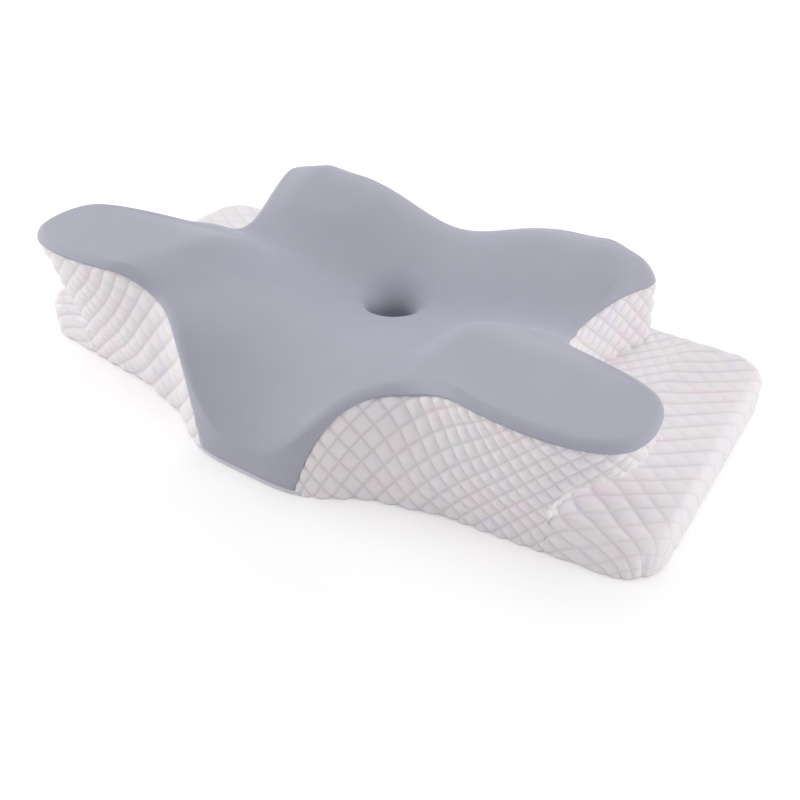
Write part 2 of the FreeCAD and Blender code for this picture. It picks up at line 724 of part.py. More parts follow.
def check_and_write(doc, nodes):
    """Stop on any failed object or bad solid, then write one STEP file per node."""
    for item in doc.Objects:
        if "Invalid" in item.State or "Error" in item.State:
            raise RuntimeError(f"{item.Label} failed to recompute")
    shapes = {}
    for name in nodes:
        shape = doc.getObjectsByLabel(name)[0].Shape
        if shape.isNull() or not shape.isValid() or not shape.Solids:
            raise RuntimeError(f"{name} has no valid solid")
        shapes[name] = shape
    os.makedirs("parts", exist_ok=True)
    for name, shape in shapes.items():
        shape.exportStep(f"parts/{name}.step")
        print(f"{name}: {len(shape.Solids)} solid(s), {shape.Volume / 1000.0:.1f} cm3")


def main():
    doc = FreeCAD.newDocument("cervical_pillow")
    sheet = make_sheet(doc)
    z = read_sizes(sheet)
    cover = make_layers(doc, z)
    make_vent_sleeve(doc, z)
    make_cover_panels(doc, z, cover)
    make_tapes_and_chain(doc)
    make_slider(doc)
    make_pull_tab(doc)
    doc.recompute()
    check_and_write(doc, NODES)


main()
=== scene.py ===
"""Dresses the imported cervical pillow: smooth top cover, quilted border, vent, hem and zipper.

Sizes are in millimetres and turn to metres where a mesh is made. "back" is measured from
the slab's front edge towards the zipper side, "side" from the middle to either end.
"""
import logging
import math
from collections.abc import Callable, Sequence
from dataclasses import dataclass, field
from enum import Enum
from functools import partial

import bmesh
import bpy
import numpy as np
from bpy.types import Material, Mesh, NodeTree, Object
from mathutils import Euler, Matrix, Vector


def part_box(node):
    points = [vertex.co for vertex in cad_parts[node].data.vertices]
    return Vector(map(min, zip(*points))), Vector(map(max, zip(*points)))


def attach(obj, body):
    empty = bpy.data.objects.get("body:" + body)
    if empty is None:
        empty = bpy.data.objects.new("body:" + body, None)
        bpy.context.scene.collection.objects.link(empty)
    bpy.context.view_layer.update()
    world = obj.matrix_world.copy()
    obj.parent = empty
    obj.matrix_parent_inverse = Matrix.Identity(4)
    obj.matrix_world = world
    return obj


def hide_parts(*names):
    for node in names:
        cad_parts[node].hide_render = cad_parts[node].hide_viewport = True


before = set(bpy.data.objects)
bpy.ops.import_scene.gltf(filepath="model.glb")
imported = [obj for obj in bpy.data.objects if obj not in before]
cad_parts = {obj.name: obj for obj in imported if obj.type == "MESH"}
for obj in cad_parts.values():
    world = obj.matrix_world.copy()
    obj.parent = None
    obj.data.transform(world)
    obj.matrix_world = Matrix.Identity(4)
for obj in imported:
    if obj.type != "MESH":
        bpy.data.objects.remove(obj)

LOG = logging.getLogger("pillow")
MM = 0.001
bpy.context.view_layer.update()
FINE = 1.0
# Seam distance of cloth that no seam reaches, in millimetres.
FAR = 40.0
# Back and height of a place inside the foam, from which outer faces look away.
HEART = (130.0, 45.0)
Array = np.ndarray
Values = Array | float


class Side(Enum):
    """The pillow's two mirrored halves, each with the sign of its X."""

    LEFT = -1
    RIGHT = 1

    @property
    def word(self) -> str:
        """The half's name as it ends a piece's name."""
        return self.name.lower()


# ---- numbers and curves
def smooth(share: Values) -> Array:
    """Ease a share from 0 to 1 with level ends."""
    held = np.clip(share, 0.0, 1.0)
    return held * held * (3.0 - 2.0 * held)


def ramp(value: Values, start: float, length: float) -> Array:
    """Ease from 0 at a start to 1 a length further on."""
    return smooth((value - start) / length)


def blend(low: Values, high: Values, share: Values) -> Array:
    """Value a given share of the way from low to high."""
    return low + (high - low) * share


def stack(*parts: Values) -> Array:
    """Join coordinates of one shape into points along a new last axis."""
    return np.stack(np.broadcast_arrays(*parts), axis=-1).astype(float)


def eased_steps(stops: Sequence[float], counts: Sequence[int]) -> Array:
    """Evenly divided runs between stops.

    Args:
        stops: Values that the runs start and end on.
        counts: How many steps each run has.

    Returns:
        All values in order, each stop once.
    """
    runs = [np.linspace(a, b, n, endpoint=False) for a, b, n in zip(stops, stops[1:], counts)]
    return np.concatenate(runs + [np.array([stops[-1]])])


class LoopSpline:
    """Closed curve with even curvature through points at given parameters."""

    def __init__(self, knots: Array, points: Array) -> None:
        """Solve the curve's second derivatives.

        Args:
            knots: One more parameter than there are points; the last closes the loop.
            points: The points in order, each a row.
        """
        count = len(points)
        steps = np.diff(knots)
        matrix = np.zeros((count, count))
        wanted = np.zeros((count, points.shape[1]))
        for i in range(count):
            before, after = (i - 1) % count, (i + 1) % count
            matrix[i, before] += steps[before]
            matrix[i, i] += 2.0 * (steps[before] + steps[i])
            matrix[i, after] += steps[i]
            rise = (points[after] - points[i]) / steps[i]
            wanted[i] = 6.0 * (rise - (points[i] - points[before]) / steps[before])
        self.knots, self.steps, self.points = knots, steps, points
        self.bends = np.linalg.solve(matrix, wanted)

    def at(self, place: Array) -> Array:
        """Points of the curve at an array of parameters."""
        place = np.mod(place, self.knots[-1])
        i = np.clip(np.searchsorted(self.knots, place, "right") - 1, 0, len(self.steps) - 1)
        j = (i + 1) % len(self.points)
        step = self.steps[i]
        near = ((self.knots[i + 1] - place) / step)[..., None]
        far = 1.0 - near
        bend = (near**3 - near) * self.bends[i] + (far**3 - far) * self.bends[j]
        return near * self.points[i] + far * self.points[j] + bend * (step**2)[..., None] / 6.0


# ---- the pillow's form
@dataclass(frozen=True)
class FormSizes:
    """The form's own sizes, the same as the part's."""

    slab_length: float = 610.0
    slab_depth: float = 272.0
    slab_height: float = 34.0
    slab_corner: float = 32.0
    slab_roll: float = 10.0
    nose_reach: float = 58.0
    nose_half: float = 47.0
    nose_lean: float = 8.0
    nose_ease: float = 3.0
    waist_half: float = 120.0
    wing_span: float = 281.0
    wing_centre: float = 205.0
    wing_back: float = 25.0
    wing_chord: float = 54.0
    wing_fullness: float = 0.8
    wing_foot_inset: float = 20.0
    wing_foot_back: float = 8.0
    notch_half: float = 170.0
    notch_back: float = 148.0
    notch_spread: float = 14.0
    lobe_half: float = 199.0
    lobe_spread: float = 6.0
    lobe_corner: float = 24.0
    lobe_setback: float = 3.0
    rim_level: float = 110.0
    wall_overrun: float = 1.4
    ridge_height: float = 84.0
    ridge_back: float = 16.0
    shoulder_rise: float = 14.0
    shoulder_side: float = 120.0
    wing_height: float = 116.0
    wing_root: float = 88.0
    wing_crest: float = 140.0
    wing_slant: float = 0.35
    wing_crest_back: float = 52.0
    nose_drop: float = 0.72
    wing_drop: float = 0.1
    hollow_height: float = 57.0
    notch_height: float = 83.0
    hump_height: float = 115.0
    hump_side: float = 118.0
    hump_flat: float = 30.0
    hump_back: float = 240.0
    saddle_height: float = 85.0
    lobe_side_height: float = 95.0
    back_roll: float = 9.0
    slot_root: float = 230.0
    slot_low: float = 45.0
    slot_rise: float = 36.0
    slot_run: float = 19.0
    vent_radius: float = 24.0
    vent_back: float = 146.0
    funnel_depth: float = 7.0
    funnel_spread: float = 32.0


@dataclass(frozen=True)
class Stuffing:
    """How the stuffed cover departs from the foam."""

    pad_inner: float = 119.0
    pad_rear: float = 106.0
    pad_turn: float = 30.0
    pad_shift: float = 6.0
    pad_rise: float = 5.0
    pad_width: float = 16.0
    lobe_dip: float = 4.0
    lobe_middle: float = 112.0
    lobe_width: float = 34.0
    lobe_square: float = 5.0
    bow_reach: float = 13.0


class PillowForm:
    """Outline, walls, top and slab of the pillow as functions of place."""

    # Numbers of the outline's points at its named places.
    NOSE_CORNER, WING_TIP, NOTCH, LOBE_CORNER = 2, 10, 15, 19
    # Shape of the outline between those places: shares across and back, where a third
    # number is the share back at the rim.
    NOSE_STRAIGHT = 0.55
    WAIST = ((0.3, 0.79, 0.79), (0.64, 0.5, 0.54), (1.0, 0.22, 0.36))
    WING_ROOT = (0.5, 0.4, 0.66)
    WING_FOOT_CHORD = 0.88
    WING_ANGLES = (-90, -60, -30, 0, 30, 60)
    NOTCH_RUN = ((0.75, 0.3), (0.2, 0.6))
    LOBE_RUN = ((0.3, 0.42), (0.78, 0.8))
    LOBE_ANGLES = (0, 45, 90)
    BACK_RUN = (0.8, 0.4, 0.0)
    # Rounds after which a sought height or place no longer moves.
    SETTLING, HALVINGS = 30, 34
    # Half the distance over which the wall's direction is taken.
    REACH = 0.4

    def __init__(self, sizes: FormSizes) -> None:
        """Fit the outline's curves.

        Args:
            sizes: The form's sizes.
        """
        self.z, self.stuffing = sizes, Stuffing()
        self.top_level = sizes.rim_level * sizes.wall_overrun
        middle = self._closed(self._half_outline(0.5))
        spans = np.linalg.norm(np.roll(middle, -1, axis=0) - middle, axis=1)
        knots = np.concatenate([[0.0], np.cumsum(spans)])
        self.round = knots[-1]
        self.marks = knots
        self.foot = LoopSpline(knots, self._closed(self._half_outline(0.0)))
        self.brim = LoopSpline(knots, self._closed(self._half_outline(sizes.wall_overrun)))

    def _half_outline(self, level: float) -> Array:
        """Points of the right half, front to back, at a level from 0, the floor, to 1, the rim."""
        z = self.z

        def mid(foot: float, rim: float) -> float:
            """Value at this level between the floor's and the rim's."""
            return float(blend(foot, rim, level))

        nose = -z.nose_reach + mid(0.0, z.nose_lean)
        points = [(0.0, nose), (self.NOSE_STRAIGHT * z.nose_half, nose)]
        points.append((z.nose_half, nose + z.nose_ease))
        for across, foot, rim in self.WAIST:
            points.append((float(blend(z.nose_half, z.waist_half, across)), nose * mid(foot, rim)))
        front = mid(z.wing_foot_back, z.wing_back - z.wing_chord)
        across, foot, rim = self.WING_ROOT
        side = float(blend(z.waist_half, z.wing_centre, across))
        points.append((side, front * mid(foot, rim)))
        tip = z.wing_span - mid(z.wing_foot_inset, 0.0)
        chord = z.wing_chord * mid(self.WING_FOOT_CHORD, 1.0)
        for degrees in self.WING_ANGLES:
            angle = math.radians(degrees)
            out = math.cos(angle) ** z.wing_fullness
            rear = math.copysign(abs(math.sin(angle)) ** z.wing_fullness, angle)
            side = float(blend(z.wing_centre, tip, out))
            points.append((side, front + chord * (1.0 + rear)))
        notch = z.notch_half + mid(z.notch_spread, 0.0)
        rear = front + 2.0 * chord
        for across, along in self.NOTCH_RUN:
            side = float(blend(notch, z.wing_centre, across))
            points.append((side, float(blend(rear, z.notch_back, along))))
        points.append((notch, z.notch_back))
        lobe = z.lobe_half + mid(z.lobe_spread, 0.0)
        end = z.slab_depth - z.lobe_setback
        corner = z.lobe_corner
        for across, along in self.LOBE_RUN:
            side = float(blend(notch, lobe, across))
            points.append((side, float(blend(z.notch_back, end - corner, along))))
        for degrees in self.LOBE_ANGLES:
            angle = math.radians(degrees)
            side = lobe - corner + corner * math.cos(angle)
            points.append((side, end - corner + corner * math.sin(angle)))
        points += [(across * (lobe - corner), end) for across in self.BACK_RUN]
        return np.array(points)

    @staticmethod
    def _closed(half: Array) -> Array:
        """The whole outline from its right half."""
        other = half[1:-1][::-1] * np.array([-1.0, 1.0])
        return np.concatenate([half, other])

    def wall(self, place: Array, height: Array | float) -> Array:
        """Side and back of the leaning wall at a place along it and a height."""
        place, height = np.broadcast_arrays(np.asarray(place, float), np.asarray(height, float))
        share = (height / self.top_level)[..., None]
        return self.foot.at(place) * (1.0 - share) + self.brim.at(place) * share

    def inward(self, place: Array, height: Array | float) -> Array:
        """Level direction from the wall into the pillow."""
        along = self.wall(place + self.REACH, height) - self.wall(place - self.REACH, height)
        along /= np.linalg.norm(along, axis=-1, keepdims=True)
        return np.stack([-along[..., 1], along[..., 0]], axis=-1)

    def crown(self, side: Array, back: Array) -> Array:
        """Height of the top surface."""
        z = self.z
        x = np.abs(side)
        root = z.wing_root + z.wing_slant * (z.wing_crest_back - back)
        wing = smooth((x - root) / (z.wing_crest - z.wing_root))
        shoulder = z.ridge_height + z.shoulder_rise * smooth(x / z.shoulder_side)
        ridge = blend(shoulder, z.wing_height, wing)
        crest = blend(z.ridge_back, z.wing_crest_back, wing)
        hollow = blend(z.hollow_height, z.notch_height, smooth(x / z.notch_half))
        hump = blend(z.saddle_height, z.hump_height, smooth(x / z.hump_side))
        start = z.hump_side + z.hump_flat
        fall = z.hump_height - z.lobe_side_height
        hump = hump - fall * ramp(x, start, z.lobe_half - start)
        drop = blend(z.nose_drop, z.wing_drop, smooth(x / z.wing_crest))
        reach = np.clip((crest - back) / (crest + z.nose_reach), 0.0, None)
        fore = ridge * (1.0 - drop * reach**3)
        basin = blend(ridge, hollow, smooth((back - crest) / (z.vent_back - crest)))
        rise = blend(hollow, hump, smooth((back - z.vent_back) / (z.hump_back - z.vent_back)))
        rear = hump - z.back_roll * ((back - z.hump_back) / (z.slab_depth - z.hump_back)) ** 2
        height = np.select(
            [back < crest, back < z.vent_back, back < z.hump_back], [fore, basin, rise], rear
        )
        radius = np.hypot(side, back - z.vent_back)
        return height - z.funnel_depth * np.exp(-((radius / z.funnel_spread) ** 2))

    def pillowy(self, side: Array, back: Array) -> Array:
        """How far the stuffed cover stands above the foam's top at a place.

        The wing pads have a soft crest along their inner and rear edges, and the back
        lobes are a little flatter and squarer than the foam.
        """
        s, x = self.stuffing, np.abs(side)
        inner, behind = s.pad_inner - x, back - s.pad_rear
        corner = np.sqrt((inner - behind) ** 2 + s.pad_turn**2)
        edge = 0.5 * (inner + behind + corner) - s.pad_shift
        crest = s.pad_rise * np.exp(-((edge / s.pad_width) ** 2))
        crest *= ramp(back, -25.0, 40.0) * (1.0 - ramp(x, 165.0, 30.0))
        dip = np.exp(-(((x - s.lobe_middle) / s.lobe_width) ** 2))
        flat = -s.lobe_dip * dip * ramp(back, 185.0, 40.0)
        square = s.lobe_square * ramp(x, 160.0, 30.0) * ramp(back, 175.0, 40.0)
        return crest + flat + square

    def rim(self, place: Array) -> Array:
        """Height at which the wall meets the top."""
        height = np.full(np.shape(place), self.z.ridge_height)
        for _ in range(self.SETTLING):
            spot = self.wall(place, height)
            height = 0.5 * height + 0.5 * self.crown(spot[..., 0], spot[..., 1])
        return height

    def place_at(self, side: Array, height: Array, low: float, high: float) -> Array:
        """Place along the wall that has a given side, searched between two places.

        Args:
            side: Distances from the middle.
            height: Heights of the wanted points.
            low: Place at which the side is smaller than any wanted one.
            high: Place at which it is larger.

        Returns:
            The places.
        """
        side, height = np.broadcast_arrays(np.asarray(side, float), np.asarray(height, float))
        small, large = np.full(side.shape, low), np.full(side.shape, high)
        for _ in range(self.HALVINGS):
            middle = 0.5 * (small + large)
            short = self.wall(middle, height)[..., 0] < side
            small, large = np.where(short, middle, small), np.where(short, large, middle)
        return 0.5 * (small + large)

    def front(self, side: Array, height: Array) -> Array:
        """Place of the front wall at a given side."""
        start = self.marks[self.NOSE_CORNER] - 6.0
        return self.place_at(side, height, start, self.marks[self.WING_TIP])

    def rear(self, side: Array, height: Array) -> Array:
        """Place of the wing's rear wall at a given side."""
        return self.place_at(side, height, self.marks[self.NOTCH], self.marks[self.WING_TIP])

    def slot(self, side: Array) -> Array:
        """Height of the arm slot's ceiling, as the stuffed cover sags under the wing."""
        z = self.z
        return z.slot_low + z.slot_rise * (1.0 - np.exp(-(side - z.slot_root) / z.slot_run))

    def bow(self, side: Array, back: Array, height: Array) -> Array:
        """How far the lower front bulges forward between the nose and the slab's corner."""
        x = np.abs(side)
        reach = self.stuffing.bow_reach * ramp(x, 80.0, 60.0) * (1.0 - ramp(x, 135.0, 175.0))
        return reach * (1.0 - ramp(back, 0.0, 60.0)) * (1.0 - ramp(height, 20.0, 80.0))


# ---- meshes
@dataclass
class Patch:
    """A grid of points on a cloth surface.

    Attributes:
        points: Side, back and height of each point.
        cell: Each point's place in the quilting, which has a sewn line at each whole number.
        depth: Depth of the two families of lines, and the puff between them.
        seam: Distance to the nearest sewn edge.
    """

    points: Array
    cell: Array
    depth: Array
    seam: Array

    def mirrored(self, loose: float = 0.76, faint: float = 0.5) -> "Patch":
        """The same patch on the other half, quilted wider apart and pulled tighter one way.

        Args:
            loose: Diamonds along this patch for each one along the other half's.
            faint: How deep its second lines are, as a share of the other half's.

        Returns:
            The mirrored patch.
        """
        u, v = self.cell[..., 0], self.cell[..., 1]
        along, across = u + v, u - v
        cell = 0.5 * stack(loose * along + across, loose * along - across)
        depth = self.depth * np.array([1.0, faint, 1.0])
        return Patch(self.points * np.array([-1.0, 1.0, 1.0]), cell, depth, self.seam)


@dataclass(frozen=True)
class Quilting:
    """Spacing of the sewn diamonds, with the slow drift that hand-guided cloth has.

    Attributes:
        wide: Diamond's width along the panel.
        tall: Diamond's height across the panel.
        puff: How far a diamond stands up between its lines.
        drift: How far the lines wander.
    """

    wide: float = 15.5
    tall: float = 17.5
    puff: float = 2.1
    drift: float = 1.8

    def lay(self, points: Array, along: Array, across: Array, seam: Array) -> Patch:
        """Spread the quilting over a grid.

        Args:
            points: The grid's points.
            along: Unrolled distance along the panel at each point.
            across: Unrolled distance across it.
            seam: Distance to the nearest sewn edge.

        Returns:
            The finished patch.
        """
        return self.lay_cells(points, along / self.wide, across / self.tall, seam)

    def lay_cells(self, points: Array, along: Array, across: Array, seam: Array) -> Patch:
        """Spread the quilting with the distances already counted in diamonds."""
        far, wide = along * self.wide, across * self.tall
        # Slow waves whose lengths share no factor, so that the drift never repeats.
        aside = np.sin(wide / 23.0 + 0.8) + 0.6 * np.sin(far / 31.0 + wide / 47.0)
        ahead = np.sin(far / 37.0 + 1.9) + 0.5 * np.sin(far / 17.0 - wide / 29.0)
        u = along + self.drift / self.wide * aside
        v = across + self.drift / self.tall * ahead
        ones = np.ones(seam.shape)
        depth = stack(ones, ones, ones * self.puff)
        return Patch(points, stack(u + v, u - v), depth, seam)


def blank_patch(points: Array) -> Patch:
    """A patch without quilting or seams."""
    shape = points.shape[:2]
    return Patch(points, np.zeros(shape + (2,)), np.zeros(shape + (3,)), np.full(shape, FAR))


def run_length(points: Array, axis: int) -> Array:
    """Distance run along one axis of a grid of points."""
    step = np.linalg.norm(np.diff(points, axis=axis), axis=-1)
    start = np.zeros_like(np.take(step, [0], axis=axis))
    return np.concatenate([start, np.cumsum(step, axis=axis)], axis=axis)


def edge_distance(points: Array, edges: str) -> Array:
    """Distance of each grid point to the named edges.

    Args:
        points: The grid, rows first.
        edges: Letters of the sewn edges: b for the first row, t for the last, l for the
            first column, r for the last.

    Returns:
        The least distance, no more than FAR.
    """
    up, along = run_length(points, 0), run_length(points, 1)
    away = {"b": up, "t": up[-1:] - up, "l": along, "r": along[:, -1:] - along}
    found = np.full(points.shape[:2], FAR)
    for letter in edges:
        found = np.minimum(found, away[letter])
    return found


def to_metres(points: Array, front_line: float) -> Array:
    """Points of the form as points of the model, in metres."""
    return (points + np.array([0.0, front_line, 0.0])) * MM


def mesh_from_patches(
    name: str, patches: Sequence[Patch], front_line: float, weld: float = 0.02
) -> Mesh:
    """One welded mesh of several patches, faces outwards, with the cloth's attributes.

    Args:
        name: The mesh's name.
        patches: Grids whose shared edges coincide.
        front_line: Y of the slab's front edge.
        weld: Points closer than this become one.

    Returns:
        The mesh.
    """
    work = bmesh.new()
    cell = work.verts.layers.float_vector.new("quilt_cell")
    depth = work.verts.layers.float_vector.new("quilt_depth")
    seam = work.verts.layers.float.new("seam_gap")
    for patch in patches:
        rows, columns = patch.points.shape[:2]
        spots = to_metres(patch.points, front_line).reshape(-1, 3)
        cells, depths = patch.cell.reshape(-1, 2), patch.depth.reshape(-1, 3)
        gaps = patch.seam.reshape(-1)
        made = []
        for spot, place, deep, gap in zip(spots, cells, depths, gaps):
            vert = work.verts.new(spot)
            vert[cell] = (place[0], place[1], 0.0)
            vert[depth] = tuple(deep)
            vert[seam] = gap
            made.append(vert)
        for i in range(rows - 1):
            for j in range(columns - 1):
                a, b = i * columns + j, (i + 1) * columns + j
                work.faces.new((made[a], made[a + 1], made[b + 1], made[b]))
    bmesh.ops.remove_doubles(work, verts=work.verts[:], dist=weld * MM)
    bmesh.ops.dissolve_degenerate(work, edges=work.edges[:], dist=0.01 * MM)
    bmesh.ops.recalc_face_normals(work, faces=work.faces[:])
    heart = Vector((0.0, (front_line + HEART[0]) * MM, HEART[1] * MM))
    facing = sum(
        face.normal.dot(face.calc_center_median() - heart) * face.calc_area()
        for face in work.faces
    )
    if facing < 0:
        bmesh.ops.reverse_faces(work, faces=work.faces[:])
    mesh = bpy.data.meshes.new(name)
    work.to_mesh(mesh)
    work.free()
    mesh.polygons.foreach_set("use_smooth", np.ones(len(mesh.polygons), bool))
    return mesh


def mesh_object(name: str, mesh: Mesh) -> Object:
    """A new object that holds a mesh, at the origin."""
    made = bpy.data.objects.new(name, mesh)
    bpy.context.scene.collection.objects.link(made)
    return made


def rework(source: Mesh, target: Mesh, edit: Callable[[bmesh.types.BMesh], object]) -> None:
    """Write a mesh to another one, or back to itself, with an edit in between.

    Args:
        source: Mesh that is read.
        target: Mesh that is written.
        edit: What happens to the working copy.
    """
    work = bmesh.new()
    work.from_mesh(source)
    edit(work)
    work.to_mesh(target)
    work.free()


def keep_evaluated(piece: Object) -> None:
    """Turn a piece's modifiers into its plain mesh and drop them."""
    graph = bpy.context.evaluated_depsgraph_get()
    plain = bpy.data.meshes.new_from_object(
        piece.evaluated_get(graph), preserve_all_data_layers=True, depsgraph=graph
    )
    piece.modifiers.clear()
    piece.data = plain


def set_finish(piece: Object, finish: Material) -> None:
    """Give a piece or a CAD node one finish all over."""
    piece.data.materials.clear()
    piece.data.materials.append(finish)


def add_modifier(piece: Object, kind: str, **settings: object) -> None:
    """Add a modifier with its settings."""
    modifier = piece.modifiers.new(kind.title(), kind)
    for key, value in settings.items():
        setattr(modifier, key, value)


# ---- node trees
Node = bpy.types.Node
Socket = bpy.types.NodeSocket
MATH = "ShaderNodeMath"
MIX = "ShaderNodeMix"
BUMP = "ShaderNodeBump"
XYZ = "ShaderNodeSeparateXYZ"


def add_node(tree: NodeTree, kind: str, inputs: dict | None = None, **settings: object) -> Node:
    """Add a node with its settings and links.

    Args:
        tree: Tree that gets the node.
        kind: The node's type name.
        inputs: By the input's name or number, its value, the output socket that feeds it,
            or the node whose first output feeds it.
        settings: The node's own properties.

    Returns:
        The node.
    """
    node = tree.nodes.new(kind)
    for key, value in settings.items():
        setattr(node, key, value)
    for key, value in (inputs or {}).items():
        source = value.outputs[0] if isinstance(value, Node) else value
        if isinstance(source, Socket):
            tree.links.new(source, node.inputs[key])
        else:
            node.inputs[key].default_value = source
    return node


def new_tree(name: str, numbers: Sequence[str], material: str) -> tuple[NodeTree, Node]:
    """Geometry tree with named inputs.

    Args:
        name: The tree's name.
        numbers: Names of its number inputs, after the geometry.
        material: Name of its material input, the last.

    Returns:
        The tree and its group input node.
    """
    tree = bpy.data.node_groups.new(name, "GeometryNodeTree")
    kinds = [("Geometry", "Geometry"), *((label, "Float") for label in numbers)]
    for label, kind in (*kinds, (material, "Material")):
        tree.interface.new_socket(label, in_out="INPUT", socket_type=f"NodeSocket{kind}")
    tree.interface.new_socket("Geometry", in_out="OUTPUT", socket_type="NodeSocketGeometry")
    return tree, tree.nodes.new("NodeGroupInput")


def end_tree(tree: NodeTree, geometry: Node, material: Socket) -> None:
    """Close a geometry tree with smooth shading, real meshes and the piece's material."""
    shaded = add_node(tree, "GeometryNodeSetShadeSmooth", {"Geometry": geometry})
    real = add_node(tree, "GeometryNodeRealizeInstances", {"Geometry": shaded})
    dressed = add_node(tree, "GeometryNodeSetMaterial", {"Geometry": real, "Material": material})
    add_node(tree, "NodeGroupOutput", {0: dressed})


def run_tree(piece: Object, tree: NodeTree, values: dict[str, object]) -> None:
    """Put a tree on a piece as a modifier, with its inputs set by their identifiers."""
    modifier = piece.modifiers.new(tree.name, "NODES")
    modifier.node_group = tree
    for item in tree.interface.items_tree:
        if item.item_type == "SOCKET" and item.in_out == "INPUT" and item.name in values:
            modifier[item.identifier] = values[item.name]


def quilt_tree() -> NodeTree:
    """Tree that puffs a cloth surface up between its sewn lines and tucks in its edges."""
    groove_round = 0.012  # rounds the bottom of a groove, which would be a knife cut without it
    tree, start = new_tree(
        "Quilted Puff", ("Roundness", "Sink", "Tuck Depth", "Tuck Width"), "Cloth"
    )
    add, given = partial(add_node, tree), start.outputs
    named = "GeometryNodeInputNamedAttribute"
    cell = add(XYZ, {0: add(named, {"Name": "quilt_cell"}, data_type="FLOAT_VECTOR")})
    depth = add(XYZ, {0: add(named, {"Name": "quilt_depth"}, data_type="FLOAT_VECTOR")})
    domes = []
    for axis in (0, 1):
        turn = add(MATH, {0: cell.outputs[axis], 1: math.pi}, operation="MULTIPLY")
        sine = add(MATH, {0: turn}, operation="SINE")
        square = add(MATH, {0: sine, 1: sine, 2: groove_round}, operation="MULTIPLY_ADD")
        wave = add(MATH, {0: square}, operation="SQRT")
        dome = add(MATH, {0: wave, 1: given["Roundness"]}, operation="POWER")
        fall = add(MATH, {0: 1.0, 1: dome}, operation="SUBTRACT")
        valley = add(MATH, {0: fall, 1: depth.outputs[axis]}, operation="MULTIPLY")
        domes.append(add(MATH, {0: 1.0, 1: valley}, operation="SUBTRACT"))
    peak = add(MATH, {0: domes[0], 1: domes[1]}, operation="MULTIPLY")
    hill = add(MATH, {0: peak, 1: given["Sink"]}, operation="SUBTRACT")
    lift = add(MATH, {0: hill, 1: depth.outputs[2]}, operation="MULTIPLY")
    gap = add(named, {"Name": "seam_gap"}, data_type="FLOAT")
    near = add(MATH, {0: gap, 1: given["Tuck Width"]}, operation="DIVIDE")
    near = add(MATH, {0: near, 1: 2.0}, operation="POWER")
    near = add(MATH, {0: near, 1: -1.0}, operation="MULTIPLY")
    near = add(MATH, {0: near}, operation="EXPONENT")
    tuck = add(MATH, {0: near, 1: given["Tuck Depth"]}, operation="MULTIPLY")
    height = add(MATH, {0: lift, 1: tuck}, operation="SUBTRACT")
    height = add(MATH, {0: height, 1: MM}, operation="MULTIPLY")
    normal = add("GeometryNodeInputNormal")
    offset = add("ShaderNodeVectorMath", {0: normal, "Scale": height}, operation="SCALE")
    moved = add("GeometryNodeSetPosition", {"Geometry": given["Geometry"], "Offset": offset})
    end_tree(tree, moved, given["Cloth"])
    return tree


def spaced_points(tree: NodeTree, given: Sequence[Socket]) -> Node:
    """Points at an even pitch along a path of edges."""
    path = add_node(tree, "GeometryNodeMeshToCurve", {0: given["Geometry"]})
    return add_node(
        tree, "GeometryNodeResampleCurve", {"Curve": path, "Length": given["Pitch"]},
        mode="LENGTH",
    )


def stitch_tree() -> NodeTree:
    """Tree that lays thread stitches, each a short rounded stroke, along a path of edges."""
    tree, start = new_tree("Seam Stitches", ("Pitch", "Length", "Thickness"), "Thread")
    add, given = partial(add_node, tree), start.outputs
    spots = spaced_points(tree, given)
    bead = add("GeometryNodeMeshUVSphere", {"Segments": 8, "Rings": 6, "Radius": 0.5})
    size = add(
        "ShaderNodeCombineXYZ",
        {0: given["Thickness"], 1: given["Thickness"], 2: given["Length"]},
    )
    tangent = add("GeometryNodeInputTangent")
    turn = add("FunctionNodeAlignEulerToVector", {"Vector": tangent}, axis="Z")
    copies = add(
        "GeometryNodeInstanceOnPoints",
        {"Points": spots, "Instance": bead, "Rotation": turn, "Scale": size},
    )
    end_tree(tree, copies, given["Thread"])
    return tree


def coil_tree() -> NodeTree:
    """Tree that winds a row of zipper teeth along a straight path of edges."""
    tree, start = new_tree("Zipper Coil", ("Pitch", "Width", "Depth", "Wire", "Lean"), "Nylon")
    add, given = partial(add_node, tree), start.outputs
    circle = "GeometryNodeCurvePrimitiveCircle"
    spots = spaced_points(tree, given)
    ring = add(circle, {"Resolution": 10, "Radius": 0.5})
    shape = add("ShaderNodeCombineXYZ", {0: given["Depth"], 1: given["Width"]})
    oval = add("GeometryNodeTransform", {"Geometry": ring, "Scale": shape})
    thread = add(circle, {"Resolution": 5, "Radius": given["Wire"]})
    tooth = add("GeometryNodeCurveToMesh", {"Curve": oval, "Profile Curve": thread})
    tilt = add("ShaderNodeCombineXYZ", {1: math.pi / 2.0, 2: given["Lean"]})
    copies = add(
        "GeometryNodeInstanceOnPoints", {"Points": spots, "Instance": tooth, "Rotation": tilt}
    )
    end_tree(tree, copies, given["Nylon"])
    return tree


# ---- finishes
# A wave texture at scale 1 repeats its bands this far apart.
BAND_SPACING = 0.314


def linear(hex_colour: str) -> tuple[float, float, float, float]:
    """Linear colour of an sRGB hex value."""
    raw = [int(hex_colour[i:i + 2], 16) / 255.0 for i in (1, 3, 5)]
    made = [c / 12.92 if c <= 0.04045 else ((c + 0.055) / 1.055) ** 2.4 for c in raw]
    return (made[0], made[1], made[2], 1.0)


